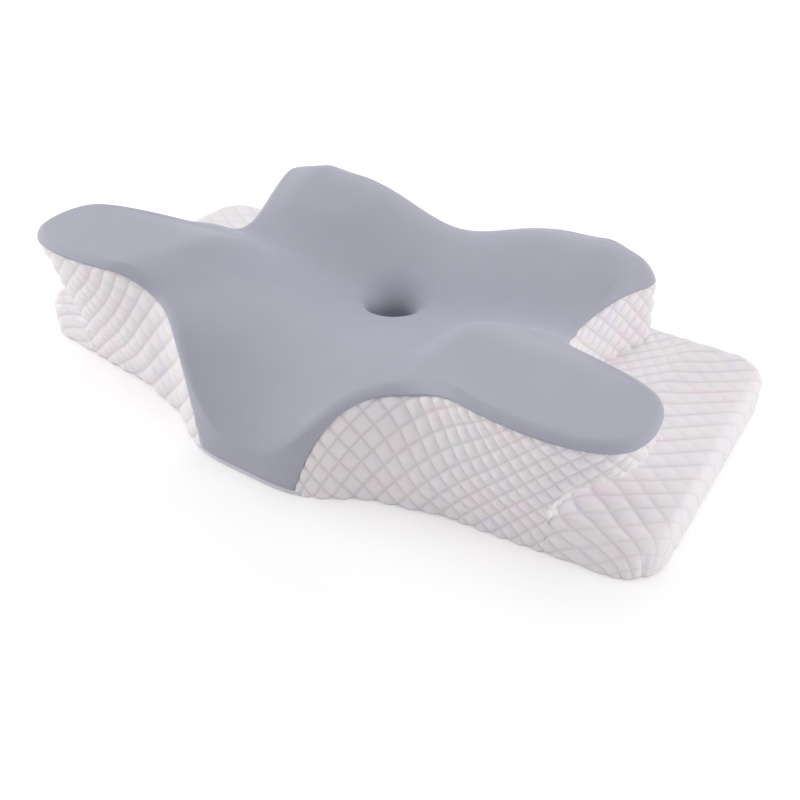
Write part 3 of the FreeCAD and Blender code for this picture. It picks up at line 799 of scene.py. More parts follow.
class MaterialWork:
    """A new material with its shader, to which a finish adds its pattern and relief."""

    def __init__(self, name: str, **constants: object) -> None:
        """Make the material and set its shader's own sockets.

        Args:
            name: What the finish is.
            constants: Shader sockets' values, with spaces in names as underscores.
        """
        self.material = bpy.data.materials.new(name)
        self.material.use_nodes = True
        self.tree = self.material.node_tree
        self.shader = self.tree.nodes["Principled BSDF"]
        for key, value in constants.items():
            self.shader.inputs[key.replace("_", " ")].default_value = value
        self.object_place = self.add("ShaderNodeTexCoord").outputs["Object"]

    def add(self, kind: str, inputs: dict | None = None, **settings: object) -> Node:
        """Add a node to this material."""
        return add_node(self.tree, kind, inputs, **settings)

    def grain(self, size_mm: float, detail: float = 2.0, stretch: tuple = (1.0, 1.0, 1.0)) -> Node:
        """Uneven pattern whose features have a real size, on the object's own coordinates.

        Args:
            size_mm: Size of its features.
            detail: How many finer levels it has.
            stretch: How much closer together they lie along each axis.

        Returns:
            Its node, whose first output runs from 0 to 1.
        """
        place = self.add("ShaderNodeMapping", {"Scale": stretch, "Vector": self.object_place})
        scale = 1.0 / (size_mm * MM)
        return self.add("ShaderNodeTexNoise", {"Scale": scale, "Detail": detail, "Vector": place})

    def finish(self, **sources: Node | Socket) -> Material:
        """Join colour, normal and roughness to the shader and give the material."""
        for key, source in sources.items():
            socket = source.outputs[0] if isinstance(source, Node) else source
            self.tree.links.new(socket, self.shader.inputs[key.replace("_", " ")])
        return self.material


@dataclass(frozen=True)
class CoolingKnit:
    """Smooth polyester and spandex jersey, circular knitted and dyed lavender grey.

    Its even face takes light softly, and its filament yarn gives a faint silk sheen.
    """

    face: str = "#B1B2BF"
    shade: str = "#AAAAB8"
    # Painted shade: a deeper grey laid over the knit's loop pattern, as shade in the hollows
    # between loops.
    hollow: str = "#9292A2"
    wale_mm: float = 1.1

    def build(self) -> Material:
        """The material."""
        work = MaterialWork(
            "Lavender jersey, circular knitted", Roughness=0.62, Sheen_Weight=0.18,
            Sheen_Roughness=0.45, Sheen_Tint=linear("#D6D8E6"), Specular_IOR_Level=0.32,
        )
        # Wales run front to back; their true pitch of 0.4 mm is drawn at 1.1 mm to show.
        rows = []
        for axis, spacing, wander in (("X", self.wale_mm, 0.6), ("Y", 1.4 * self.wale_mm, 0.0)):
            wave = work.add(
                "ShaderNodeTexWave",
                {
                    "Scale": BAND_SPACING / (spacing * MM), "Distortion": wander,
                    "Vector": work.object_place,
                },
                wave_type="BANDS", bands_direction=axis,
            )
            rows.append(wave.outputs["Fac"])
        loops = work.add(MATH, {0: rows[0], 1: rows[1]}, operation="MULTIPLY")
        mottle, fuzz = work.grain(26.0, 3.0), work.grain(0.8)
        share = work.add(MATH, {0: mottle, 1: 0.9}, operation="MULTIPLY")
        tones = {0: share, 6: linear(self.face), 7: linear(self.shade)}
        colour = work.add(MIX, tones, data_type="RGBA").outputs[2]
        # Painted shade: the loop pattern darkens the colour toward the hollow grey.
        share = work.add(MATH, {0: loops, 1: 0.10}, operation="MULTIPLY")
        tones = {0: share, 6: colour, 7: linear(self.hollow)}
        colour = work.add(MIX, tones, data_type="RGBA").outputs[2]
        relief = work.add(BUMP, {"Strength": 0.30, "Distance": 0.12 * MM, "Height": loops})
        relief = work.add(
            BUMP, {"Strength": 0.12, "Distance": 0.10 * MM, "Height": fuzz, "Normal": relief}
        )
        return work.finish(Base_Color=colour, Normal=relief)


@dataclass(frozen=True)
class QuiltedKnit:
    """White polyester double knit with a thin wadding, quilted in diamonds.

    The puffed cells stay matt and pale; painted shade darkens the sewn lines to soft mauve,
    and the print behind the lines tints them faintly pink, cream, green and lilac in turn.
    """

    face: str = "#F4F0F4"
    # Painted shade: the mauve grey laid along the sewn lines, where their grooves are shaded.
    line: str = "#C9BFCA"
    line_mm: float = 1.9
    cell_mm: float = 14.0
    halo: float = 2.4
    tints: tuple[tuple[str, float], ...] = (
        ("#F1DEE4", 0.36), ("#EEE9DD", 0.46), ("#E3E8E4", 0.54), ("#E5E0EE", 0.64),
    )

    def build(self) -> Material:
        """The material."""
        work = MaterialWork(
            "White quilted double knit", Roughness=0.82, Sheen_Weight=0.15,
            Sheen_Roughness=0.5, Specular_IOR_Level=0.25,
        )
        cell = work.add("ShaderNodeAttribute", attribute_name="quilt_cell")
        depth = work.add("ShaderNodeAttribute", attribute_name="quilt_depth")
        places = work.add(XYZ, {0: cell.outputs["Vector"]})
        deep = work.add(XYZ, {0: depth.outputs["Vector"]})
        width = self.line_mm / self.cell_mm
        lines, halos = [], []
        for axis in (0, 1):
            off = work.add(MATH, {0: places.outputs[axis], 1: 0.5}, operation="PINGPONG")
            for made, spread in ((lines, width), (halos, self.halo * width)):
                fade = work.add(
                    "ShaderNodeMapRange",
                    {"From Max": spread, "To Min": 1.0, "To Max": 0.0, "Value": off},
                    interpolation_type="SMOOTHSTEP",
                )
                shown = {0: fade, 1: deep.outputs[axis]}
                made.append(work.add(MATH, shown, operation="MULTIPLY"))
        # Where the sewn lines run; it carries the painted shade in their grooves.
        line = work.add(MATH, {0: lines[0], 1: lines[1]}, operation="MAXIMUM")
        halo = work.add(MATH, {0: halos[0], 1: halos[1]}, operation="MAXIMUM")
        tint = work.add("ShaderNodeValToRGB", {"Fac": work.grain(34.0, 1.5)})
        stops = tint.color_ramp.elements
        for element, (shade, place) in zip(stops, (self.tints[0], self.tints[-1])):
            element.position, element.color = place, linear(shade)
        for shade, place in self.tints[1:-1]:
            stops.new(place).color = linear(shade)
        share = work.add(MATH, {0: halo, 1: 0.4}, operation="MULTIPLY")
        share = work.add(MATH, {0: 0.12, 1: share}, operation="ADD")
        tones = {0: share, 6: linear(self.face), 7: tint}
        base = work.add(MIX, tones, data_type="RGBA").outputs[2]
        # Painted shade: the sewn lines are darkened toward the mauve grey.
        share = work.add(MATH, {0: line, 1: 0.34}, operation="MULTIPLY")
        tones = {0: share, 6: base, 7: linear(self.line)}
        colour = work.add(MIX, tones, data_type="RGBA").outputs[2]
        # Loops of the double knit, 0.5 mm true, drawn at 1 mm to show.
        grain = work.grain(1.0, 2.0, (1.0, 1.0, 0.6))
        wadding = work.grain(5.0)
        relief = work.add(BUMP, {"Strength": 0.25, "Distance": 0.5 * MM, "Height": wadding})
        relief = work.add(
            BUMP, {"Strength": 0.35, "Distance": 0.16 * MM, "Height": grain, "Normal": relief}
        )
        return work.finish(Base_Color=colour, Normal=relief)


@dataclass(frozen=True)
class PlainCloth:
    """A plain woven or knitted cloth of one tone: tape, jersey or thread."""

    name: str
    face: str
    dark: str
    yarn_mm: float
    relief_mm: float

    def build(self) -> Material:
        """The material."""
        work = MaterialWork(self.name, Roughness=0.85, Sheen_Weight=0.12, Specular_IOR_Level=0.25)
        slant = work.add(
            "ShaderNodeMapping", {"Rotation": (0.6, 0.6, 0.8), "Vector": work.object_place}
        )
        yarns = work.add(
            "ShaderNodeTexWave",
            {
                "Scale": BAND_SPACING / (self.yarn_mm * MM), "Distortion": 1.2, "Detail": 1.0,
                "Vector": slant,
            },
            wave_type="BANDS",
        )
        fibre = work.grain(0.6)
        fibre = work.add(MATH, {0: fibre, 1: 0.6}, operation="MULTIPLY")
        fibre = work.add(MATH, {0: 0.6, 1: fibre}, operation="ADD")
        weave = work.add(MATH, {0: yarns.outputs["Fac"], 1: fibre}, operation="MULTIPLY")
        tones = {0: weave, 6: linear(self.dark), 7: linear(self.face)}
        colour = work.add(MIX, tones, data_type="RGBA").outputs[2]
        relief = {"Strength": 0.5, "Distance": self.relief_mm * MM, "Height": weave}
        return work.finish(Base_Color=colour, Normal=work.add(BUMP, relief))


@dataclass(frozen=True)
class OpenCellFoam:
    """Slow-recovery polyurethane foam, moulded, cream, with fine open cells."""

    skin: str = "#EEE8D6"
    cell: str = "#D8CFB4"
    cell_mm: float = 1.6

    def build(self) -> Material:
        """The material."""
        work = MaterialWork(
            "Cream polyurethane foam, moulded", Roughness=0.9, Specular_IOR_Level=0.2
        )
        scale = 1.0 / (self.cell_mm * MM)
        cells = work.add("ShaderNodeTexVoronoi", {"Scale": scale, "Vector": work.object_place})
        share = work.add(MATH, {0: cells, 1: 0.6, 2: 0.2}, operation="SMOOTH_MIN")
        tones = {0: share, 6: linear(self.cell), 7: linear(self.skin)}
        colour = work.add(MIX, tones, data_type="RGBA").outputs[2]
        relief = {"Strength": 0.4, "Distance": 0.3 * MM, "Height": cells}
        return work.finish(Base_Color=colour, Normal=work.add(BUMP, relief))


@dataclass(frozen=True)
class MouldedNylon:
    """Polyamide monofilament, coiled, slightly clear and satin like fishing line."""

    tone: str = "#DCDCE0"
    shade: str = "#CFCFD4"

    def build(self) -> Material:
        """The material."""
        work = MaterialWork("White nylon coil", Roughness=0.38, IOR=1.53)
        tones = {0: work.grain(3.0, 1.0), 6: linear(self.tone), 7: linear(self.shade)}
        colour = work.add(MIX, tones, data_type="RGBA").outputs[2]
        relief = {"Strength": 0.2, "Distance": 0.03 * MM, "Height": work.grain(0.5, 1.0)}
        return work.finish(Base_Color=colour, Normal=work.add(BUMP, relief))


@dataclass(frozen=True)
class TumbledZinc:
    """Zinc alloy, die cast, tumbled and nickel plated, with soft wear on its edges."""

    tone: str = "#C9CACC"
    worn: str = "#A9AAAD"
    roughness: tuple[float, float] = (0.26, 0.44)

    def build(self) -> Material:
        """The material."""
        work = MaterialWork("Nickel plated zinc, die cast", Metallic=1.0)
        wear = work.grain(1.2, 3.0)
        tones = {0: wear, 6: linear(self.tone), 7: linear(self.worn)}
        colour = work.add(MIX, tones, data_type="RGBA").outputs[2]
        low, high = self.roughness
        rough = work.add("ShaderNodeMapRange", {"To Min": low, "To Max": high, "Value": wear})
        relief = {"Strength": 0.2, "Distance": 0.02 * MM, "Height": work.grain(0.4)}
        return work.finish(Base_Color=colour, Normal=work.add(BUMP, relief), Roughness=rough)


@dataclass(frozen=True)
class StudioPaper:
    """White background paper, which shows the soft shadow and nothing else.

    Attributes:
        tone: Its colour.
        glow: Its own brightness to the camera and to reflections, under the pillow and far away.
        reach: Distances in metres between which that brightness rises.
    """

    tone: str = "#F8F7F7"
    glow: tuple[float, float] = (0.22, 0.75)
    reach: tuple[float, float] = (0.55, 2.2)

    def build(self) -> Material:
        """The material."""
        work = MaterialWork(
            "White studio paper", Roughness=0.95, Specular_IOR_Level=0.0,
            Base_Color=linear(self.tone), Emission_Color=(1.0, 1.0, 1.0, 1.0),
        )
        rays = work.add("ShaderNodeLightPath").outputs
        seen = {0: rays["Is Camera Ray"], 1: rays["Is Glossy Ray"]}
        seen = work.add(MATH, seen, operation="MAXIMUM")
        seen = work.add(MATH, {0: seen, 1: rays["Is Transmission Ray"]}, operation="MAXIMUM")
        away = work.add("ShaderNodeVectorMath", {0: work.object_place}, operation="LENGTH")
        (start, end), (dim, bright) = self.reach, self.glow
        glow = work.add("ShaderNodeMapRange", {
            "From Min": start, "From Max": end, "To Min": dim, "To Max": bright,
            "Value": away.outputs["Value"],
        })
        shown = work.add(MATH, {0: seen, 1: glow}, operation="MULTIPLY")
        return work.finish(Emission_Strength=shown)


@dataclass
class Finishes:
    """Every finish on the pillow, built once."""

    jersey: Material = field(default_factory=CoolingKnit().build)
    quilt: Material = field(default_factory=QuiltedKnit().build)
    hem: Material = field(
        default_factory=PlainCloth("White bias tape, woven", "#E9E8EC", "#CFCCD4", 0.9, 0.12).build
    )
    tape: Material = field(default_factory=PlainCloth(
        "Polyester zipper tape, woven", "#E2E2E6", "#BFC0C8", 0.8, 0.10).build)
    liner: Material = field(default_factory=PlainCloth(
        "White cotton jersey, knitted", "#EDEDEE", "#D4D4D8", 0.9, 0.08).build)
    thread: Material = field(default_factory=PlainCloth(
        "White polyester thread, spun", "#E6E4EA", "#C4C0CC", 0.4, 0.04).build)
    foam: Material = field(default_factory=OpenCellFoam().build)
    nylon: Material = field(default_factory=MouldedNylon().build)
    zinc: Material = field(default_factory=TumbledZinc().build)


# ---- sewing shop
class Workshop:
    """What every sub-assembly needs: the form, the finishes, the trees and the frame's place."""

    def __init__(self, form: PillowForm, finishes: Finishes) -> None:
        """Take the form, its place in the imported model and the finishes."""
        self.form = form
        self.brim = Brim(form)
        self.finishes = finishes
        self.front_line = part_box("back_panel")[1].y / MM - form.z.slab_depth
        self.quilt = quilt_tree()
        self.stitches = stitch_tree()
        self.coils = coil_tree()

    def sew(
        self, name: str, patches: Sequence[Patch], cloth: Material, thickness: float,
        slot: str, stands_for: Sequence[str], tuck: float = 1.3, tuck_width: float = 3.0,
        sink: float = 0.45, weld: float = 0.02,
    ) -> None:
        """Make a cloth panel with its quilting, seams and thickness.

        Args:
            name: The piece's name.
            patches: Its surface.
            cloth: Its finish.
            thickness: Its thickness, inwards.
            slot: Material slot of the record; not used.
            stands_for: CAD nodes that it replaces.
            tuck: How deep its sewn edges go in.
            tuck_width: How wide that tuck is.
            sink: Share of the puff by which the sewn lines lie under the form.
            weld: Points closer than this become one.
        """
        piece = mesh_object(name, mesh_from_patches(name, patches, self.front_line, weld))
        run_tree(piece, self.quilt, {
            "Roundness": 0.62, "Sink": sink, "Tuck Depth": tuck, "Tuck Width": tuck_width,
            "Cloth": cloth,
        })
        add_modifier(piece, "SOLIDIFY", thickness=thickness * MM, offset=-1.0, use_rim=True)
        keep_evaluated(piece)
        self.attach(piece, slot, stands_for)

    def attach(
        self, piece: Object, slot: str, stands_for: Sequence[str] = (), body: str = "pillow"
    ) -> None:
        """Let a piece ride on a body and hide the CAD nodes that it stands for."""
        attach(piece, body)
        if stands_for:
            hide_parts(*stands_for)
        LOG.info("%s: %d faces", piece.name, len(piece.data.polygons))

    def path_mesh(self, name: str, paths: Sequence[Array]) -> Mesh:
        """Mesh of edges along each path."""
        spots, edges = [], []
        for path in paths:
            first = len(spots)
            spots += to_metres(path, self.front_line).tolist()
            edges += [(first + i, first + i + 1) for i in range(len(path) - 1)]
        mesh = bpy.data.meshes.new(name)
        mesh.from_pydata(spots, edges, [])
        return mesh


# ---- brim
@dataclass(frozen=True)
class BrimStation:
    """The rounded edge of the top at one place on the outline.

    Attributes:
        mark: Number of the outline's point.
        rise: How far the cover stands above the foam's own edge.
        roll: Radius of the rounding.
        lean: How far the wall leans in at the top.
        drop: How far below the foam's edge the seam lies.
    """

    mark: int
    rise: float
    roll: float
    lean: float
    drop: float


class Brim:
    """The rounded edge all round the top, and the wall under it."""

    STATIONS = tuple(BrimStation(*row) for row in (
        (0, 0.0, 3.0, 0.0, 1.0), (2, 0.0, 3.0, 0.0, 1.0), (3, 1.5, 5.0, 0.0, 0.5),
        (4, 3.5, 8.0, 1.0, 0.5), (5, 4.5, 9.0, 1.5, 0.0), (6, 4.5, 9.5, 3.0, 0.0),
        (7, 4.0, 9.5, 5.0, 0.0), (8, 3.0, 9.5, 4.0, 1.0), (9, 2.0, 9.5, 1.0, 5.0),
        (10, 1.0, 9.0, 0.0, 8.0), (11, 1.0, 8.0, 0.0, 7.0), (12, 2.0, 8.0, 0.0, 4.0),
        (13, 3.0, 8.0, 0.0, 3.0), (15, 1.0, 7.0, 0.0, 2.5), (16, 0.5, 8.0, 0.0, 4.0),
        (17, 2.0, 10.0, 0.0, 5.5), (19, 3.0, 12.0, 0.0, 6.0), (21, 0.0, 9.0, 0.0, 6.0),
        (23, 0.0, 8.0, 0.0, 6.0),
    ))
    # Distances along the outline over which a station's values are evened out.
    EASING = (-14.0, -7.0, 0.0, 7.0, 14.0)
    # How far the seam dives beside the nose's apron, and how soon it comes up again.
    PLUNGE, PLUNGE_RUN = 41.0, 15.0

    def __init__(self, form: PillowForm, hem: float = 4.5) -> None:
        """Spread the stations round the outline.

        Args:
            form: The pillow's form.
            hem: Height of the cover's lower edge at the nose.
        """
        self.form, self.hem = form, hem
        marks = form.marks
        near = [marks[s.mark] for s in self.STATIONS]
        self.places = np.array(near + [form.round - m for m in near[::-1]])
        self.values = {}
        for key in ("rise", "roll", "lean", "drop"):
            half = [getattr(s, key) for s in self.STATIONS]
            self.values[key] = np.array(half + half[::-1])
        self.corner = marks[form.NOSE_CORNER]

    def value(self, key: str, place: Array) -> Array:
        """A station value eased along the outline."""
        place = np.mod(place, self.form.round)
        eased = np.zeros(np.shape(place))
        for shift in self.EASING:
            moved = np.mod(place + shift, self.form.round)
            eased = eased + np.interp(moved, self.places, self.values[key])
        return eased / len(self.EASING)

    def seam(self, place: Array) -> Array:
        """Height of the seam between the cover and the quilted border."""
        along = np.mod(place, self.form.round)
        near = np.minimum(along, self.form.round - along)
        past = np.clip(near - self.corner - 2.0, 0.0, None)
        plunge = self.PLUNGE * np.exp(-past / self.PLUNGE_RUN)
        height = self.form.rim(place) - self.value("drop", place) - plunge
        return np.where(near < self.corner + 0.5, self.hem, np.maximum(height, self.hem))

    def top(self, place: Array) -> Array:
        """Height at which the rounding meets the top."""
        return self.form.rim(place) + self.value("rise", place)

    def skin(self, place: Array, height: Array) -> Array:
        """Side and back of the cover's wall, with its lean, its rounding and its bulge."""
        place, height = np.broadcast_arrays(np.asarray(place, float), np.asarray(height, float))
        top, roll = self.top(place), self.value("roll", place)
        over = np.clip(height - (top - roll), 0.0, roll)
        inset = roll - np.sqrt(np.maximum(roll**2 - over**2, 0.0))
        inset = inset + self.value("lean", place) * smooth((height - 55.0) / 50.0)
        spot = self.form.wall(place, height) + self.form.inward(place, height) * inset[..., None]
        spot[..., 1] -= self.form.bow(spot[..., 0], spot[..., 1], height)
        return spot


# ---- top cover
@dataclass
class TopCover:
    """Smooth jersey top: crown, rounded border, nose apron and funnel."""

    shop: Workshop
    overhang: float = 0.5
    near: tuple[float, float] = (5.0, 9.0)
    far: tuple[float, float] = (24.0, 20.0)
    mouth_radius: float = 21.0
    mouth_back: float = 143.0
    turns: int = 15
    collar: tuple[float, ...] = (4.0, 9.0, 15.0)
    thickness: float = 1.5
    columns: int = 640
    rows: int = 54
    edge_rows: tuple[int, int] = (10, 8)
    eases: int = 14
    hem_level: float = 2.9
    hem_half: float = 2.5
    hem_wall: float = 1.3

    def build(self) -> None:
        """Make the cover, its vent lining and its hem."""
        form, brim = self.shop.form, self.shop.brim
        columns = int(self.columns / FINE)
        place = np.linspace(0.0, form.round, columns + 1)
        top, roll = brim.top(place), brim.value("roll", place)
        rise = brim.value("rise", place)
        seam = brim.seam(place)
        last = np.arccos(np.clip(1.0 - (top - seam) / roll, 0.0, 1.0))
        inset = roll + brim.value("lean", place)
        inner = form.wall(place, top) + form.inward(place, top) * inset[:, None]
        heart = np.array([0.0, self.mouth_back])
        away = inner - heart
        away /= np.linalg.norm(away, axis=-1, keepdims=True)
        far = ramp(away[:, 1], -0.75, 1.75)
        funnel, drop = (blend(near, rear, far) for near, rear in zip(self.near, self.far))
        mouth = heart + away * (self.mouth_radius + funnel)[:, None]
        rows = []
        for turn in np.linspace(math.pi / 2.0, 0.0, self.turns):
            flat = mouth - away * (funnel * math.sin(turn))[:, None]
            level = form.crown(flat[:, 0], flat[:, 1]) + form.pillowy(flat[:, 0], flat[:, 1])
            rows.append(stack(flat[:, 0], flat[:, 1], level - drop * (1.0 - math.cos(turn))))
        foot = rows[0]
        level = np.minimum(foot[:, 2], foot[:, 2].mean())
        for deep in self.collar:
            rows.insert(0, stack(foot[:, 0], foot[:, 1], level - deep))
        count = int(self.rows / FINE)
        for share in np.linspace(0.0, 1.0, count + 1)[1:]:
            flat = blend(mouth, inner, share)
            lift = rise * share**4 + form.pillowy(flat[:, 0], flat[:, 1])
            rows.append(stack(flat[:, 0], flat[:, 1], form.crown(flat[:, 0], flat[:, 1]) + lift))
        gain = rows[-1][:, 2] - top
        for share in np.linspace(0.0, 1.0, self.edge_rows[0])[1:]:
            turn = last * share
            height = top - roll * (1.0 - np.cos(turn))
            out = (1.0 - np.sin(turn)) * gain
            flat = brim.skin(place, height) - form.inward(place, height) * (self.overhang * share)
            rows.append(stack(flat[:, 0], flat[:, 1], height + out))
        start = rows[-1][:, 2]
        for share in np.linspace(0.0, 1.0, self.edge_rows[1])[1:]:
            height = np.where(seam < start, blend(start, seam, share), start - 1.2 * share)
            flat = brim.skin(place, height) - form.inward(place, height) * self.overhang
            rows.append(stack(flat[:, 0], flat[:, 1], height))
        edge = rows[-1]
        # The cloth turns in under its own edge.
        for down, inside in ((0.7, 0.9), (0.9, 2.6)):
            flat = edge[:, :2] + form.inward(place, edge[:, 2]) * inside
            rows.append(stack(flat[:, 0], flat[:, 1], edge[:, 2] - down))
        first = self.turns + len(self.collar)
        grid = self.relaxed(np.array(rows), first, first + count)
        self.shop.sew(
            "top_cover", [blank_patch(grid)], self.shop.finishes.jersey, self.thickness,
            "cooling_knit", ["top_panel"],
        )
        self.lining(grid[0])
        self.hem()

    def relaxed(self, grid: Array, first: int, last: int) -> Array:
        """Heights of the crown eased, as a stretched cloth bridges small kinks of its foam.

        Args:
            grid: The cover's points, whose last column repeats the first.
            first: First row that may move.
            last: Row at which the brim starts.

        Returns:
            The eased points.
        """
        grid = grid.copy()
        for _ in range(self.eases):
            height = grid[..., 2]
            beside = 0.5 * (np.roll(height[:, :-1], 1, 1) + np.roll(height[:, :-1], -1, 1))
            beside = np.concatenate([beside, beside[:, :1]], axis=1)
            eased = height.copy()
            out = 0.5 * (height[:-2] + height[2:])
            eased[1:-1] = 0.4 * height[1:-1] + 0.3 * out + 0.3 * beside[1:-1]
            grid[first:last - 1, :, 2] = eased[first:last - 1]
        return grid

    def lining(self, mouth: Array) -> None:
        """The knitted tube that lines the vent, from the funnel to the floor."""
        rows = []
        for share in np.linspace(0.0, 1.0, 14):
            ring = mouth.copy()
            out = ring[:, :2] - np.array([0.0, self.mouth_back])
            ring[:, :2] += 0.5 * out / np.linalg.norm(out, axis=-1, keepdims=True)
            ring[:, 2] = blend(mouth[:, 2] + 2.0, 1.0, share)
            rows.append(ring)
        name, tube = "vent_lining", blank_patch(np.array(rows))
        piece = mesh_object(name, mesh_from_patches(name, [tube], self.shop.front_line))
        # The tube's outer side is the one that faces the air inside it.
        rework(
            piece.data, piece.data,
            lambda work: bmesh.ops.reverse_faces(work, faces=work.faces[:]),
        )
        add_modifier(piece, "SOLIDIFY", thickness=1.2 * MM, offset=-1.0, use_rim=True)
        keep_evaluated(piece)
        set_finish(piece, self.shop.finishes.jersey)
        self.shop.attach(piece, "cooling_knit", ["vent_sleeve"])

    def hem(self) -> None:
        """The white tape that binds the nose's lower edge."""
        form, level = self.shop.form, self.hem_level
        corner = form.marks[form.NOSE_CORNER]
        place = np.linspace(-corner - 6.0, corner + 6.0, 96)
        rings = []
        for angle in np.linspace(0.0, 2.0 * math.pi, 13):
            height = level + self.hem_half * math.sin(angle)
            inside = 0.7 - self.hem_wall * math.cos(angle)
            flat = form.wall(place, level) + form.inward(place, level) * inside
            rings.append(stack(flat[:, 0], flat[:, 1], np.full(len(place), height)))
        name, tape = "nose_hem", blank_patch(np.array(rings))
        piece = mesh_object(name, mesh_from_patches(name, [tape], self.shop.front_line))

        def close_ends(work: bmesh.types.BMesh) -> None:
            """Fill the tape's two open ends."""
            open_edges = [edge for edge in work.edges if edge.is_boundary]
            bmesh.ops.holes_fill(work, edges=open_edges, sides=0)
            bmesh.ops.recalc_face_normals(work, faces=work.faces[:])

        rework(piece.data, piece.data, close_ends)
        set_finish(piece, self.shop.finishes.hem)
        self.shop.attach(piece, "quilted_knit", ["front_hem"])


# ---- quilted border
@dataclass
class QuiltedBorder:
    """The quilted walls round the raised body, one set for each side and one back panel."""

    shop: Workshop
    step: float = 1.25
    thickness: float = 1.8
    foot_roll: float = 3.0
    edge_round: float = 9.0
    front_rows: tuple[int, int, int] = (28, 10, 48)
    half_steps: int = 20
    skirt: int = 8
    skirt_depth: float = 9.0
    back_rows: int = 50
    wide: float = 17.0
    crowding: float = 1.12
    settling: int = 12
    zipper_half: float = 220.0
    zipper_level: float = 14.5
    lip_half: float = 5.8
    floor_gap: float = 1.0

    def __post_init__(self) -> None:
        """Settle the slot's mouth and the lobe's seam."""
        self.form, self.brim = self.shop.form, self.shop.brim
        self.z = self.form.z
        self.stride = self.step * FINE
        self.slot_mouth = float(self.form.slot(np.array(self.z.slot_root)))
        self.lobe_seam = self.form.marks[self.form.LOBE_CORNER]
        self.root_pitch = tuple(float(v) for v in self.front_pitch(np.array(self.z.slot_root)))
        self.bands = [int(count / FINE) for count in self.front_rows]

    def foot_inset(self, height: Array) -> Array:
        """How far the wall's lowest few millimetres roll in towards the floor."""
        under = np.clip(self.foot_roll - height, 0.0, self.foot_roll)
        return self.foot_roll - np.sqrt(self.foot_roll**2 - under**2)

    def front_face(self, side: Array, height: Array) -> Array:
        """Points of the front: the leaning wall, or the slab's face where that is ahead."""
        spot = self.brim.skin(self.form.front(side, height), height)
        slab = -self.form.bow(side, np.zeros(np.shape(side)), height)
        ahead = spot[..., 1] - slab
        near = np.clip(0.5 - 0.5 * ahead / 4.0, 0.0, 1.0)
        front = slab + near * ahead - 4.0 * near * (1.0 - near)
        return stack(spot[..., 0], front + self.foot_inset(height), height)

    def front_pitch(self, side: Array) -> tuple[Array, Array]:
        """Width and height of the front's diamonds, which close up towards the slot."""
        ease = ramp(side, 105.0, 95.0)
        return blend(self.wide, 14.2, ease), blend(22.5, 16.0, ease)

    def settle(self, seam: Array, place: Callable[[Array], Array]) -> Array:
        """Height of the brim's seam where the place depends on the height.

        Args:
            seam: A first guess.
            place: Gives the places along the outline at some heights.

        Returns:
            The seam's heights.
        """
        for _ in range(self.settling):
            seam = 0.4 * seam + 0.6 * self.brim.seam(place(seam))
        return seam

    def front_wall(self) -> Patch:
        """The wall from the nose's corner to the arm slot's root."""
        z = self.z
        columns = int((z.slot_root - z.nose_half) * self.crowding / self.stride)
        start = z.nose_half - 3.5
        side = start + (z.slot_root - start) * np.linspace(0.0, 1.0, columns) ** self.crowding
        seam = self.settle(np.full(columns, 80.0), lambda height: self.form.front(side, height))
        low = self.floor_gap
        seam = np.maximum(seam, low + 2.0)
        tall = seam[-1] - low
        stops = [0.0, (z.slab_height - low) / tall, (self.slot_mouth - low) / tall, 1.0]
        rows = eased_steps(stops, self.bands)
        height = low + (seam - low)[None, :] * rows[:, None]
        side_grid = np.broadcast_to(side, height.shape)
        points = self.front_face(side_grid, height)
        wide, tall = self.front_pitch(side)
        step = np.linalg.norm(np.diff(points[len(rows) // 3], axis=0), axis=-1)
        count = np.concatenate([[0.0], np.cumsum(step / wide[1:])])
        count = np.broadcast_to(count - count[-1], height.shape)
        across = (height - z.slab_height) / tall
        return Quilting().lay_cells(points, count, across, edge_distance(points, "t"))

    def wing_places(self, share: Array, height: Array) -> Array:
        """Places round the wing: share 0 at the slot's front root, 1 at its rear root."""
        root = np.full(np.shape(height), self.z.slot_root)
        return blend(self.form.front(root, height), self.form.rear(root, height), share)

    def wing_wall(self, edge: Array) -> Array:
        """Grid of the wing's outer wall, from the slot's front root round to its rear root.

        Args:
            edge: The front wall's last column above the slot, which this wall starts on.

        Returns:
            The points.
        """
        columns = 2 * int(105.0 / self.stride) + 1
        share = np.linspace(0.0, 1.0, columns)
        low = np.full(columns, 75.0)
        for _ in range(60):
            spot = self.form.wall(self.wing_places(share, low), low)
            low = 0.7 * low + 0.3 * self.form.slot(np.maximum(spot[:, 0], self.z.slot_root))
        low[0] = low[-1] = edge[0, 2]
        first = np.full(columns, self.z.rim_level - 10.0)
        seam = self.settle(first, lambda height: self.wing_places(share, height))
        seam = np.maximum(seam, low + 1.5)
        seam[0] = edge[-1, 2]
        height = low + (seam - low) * np.linspace(0.0, 1.0, len(edge))[:, None]
        place = self.wing_places(np.broadcast_to(share, height.shape), height)
        spot = self.brim.skin(place, height)
        reach = self.edge_round * smooth(share * 8.0) * smooth((1.0 - share) * 8.0)
        reach = np.minimum(reach, 0.6 * (seam - low))
        under = np.clip(reach - (height - low), 0.0, None)
        inset = reach - np.sqrt(np.maximum(reach**2 - under**2, 0.0))
        spot = spot + self.form.inward(place, height) * inset[..., None]
        # Near the root the wall starts on the front wall's edge.
        joined = 1.0 - smooth(share * 14.0)
        spot = spot + (edge[:, None, :2] - spot[:, :1]) * joined[None, :, None]
        return stack(spot[..., 0], spot[..., 1], height)

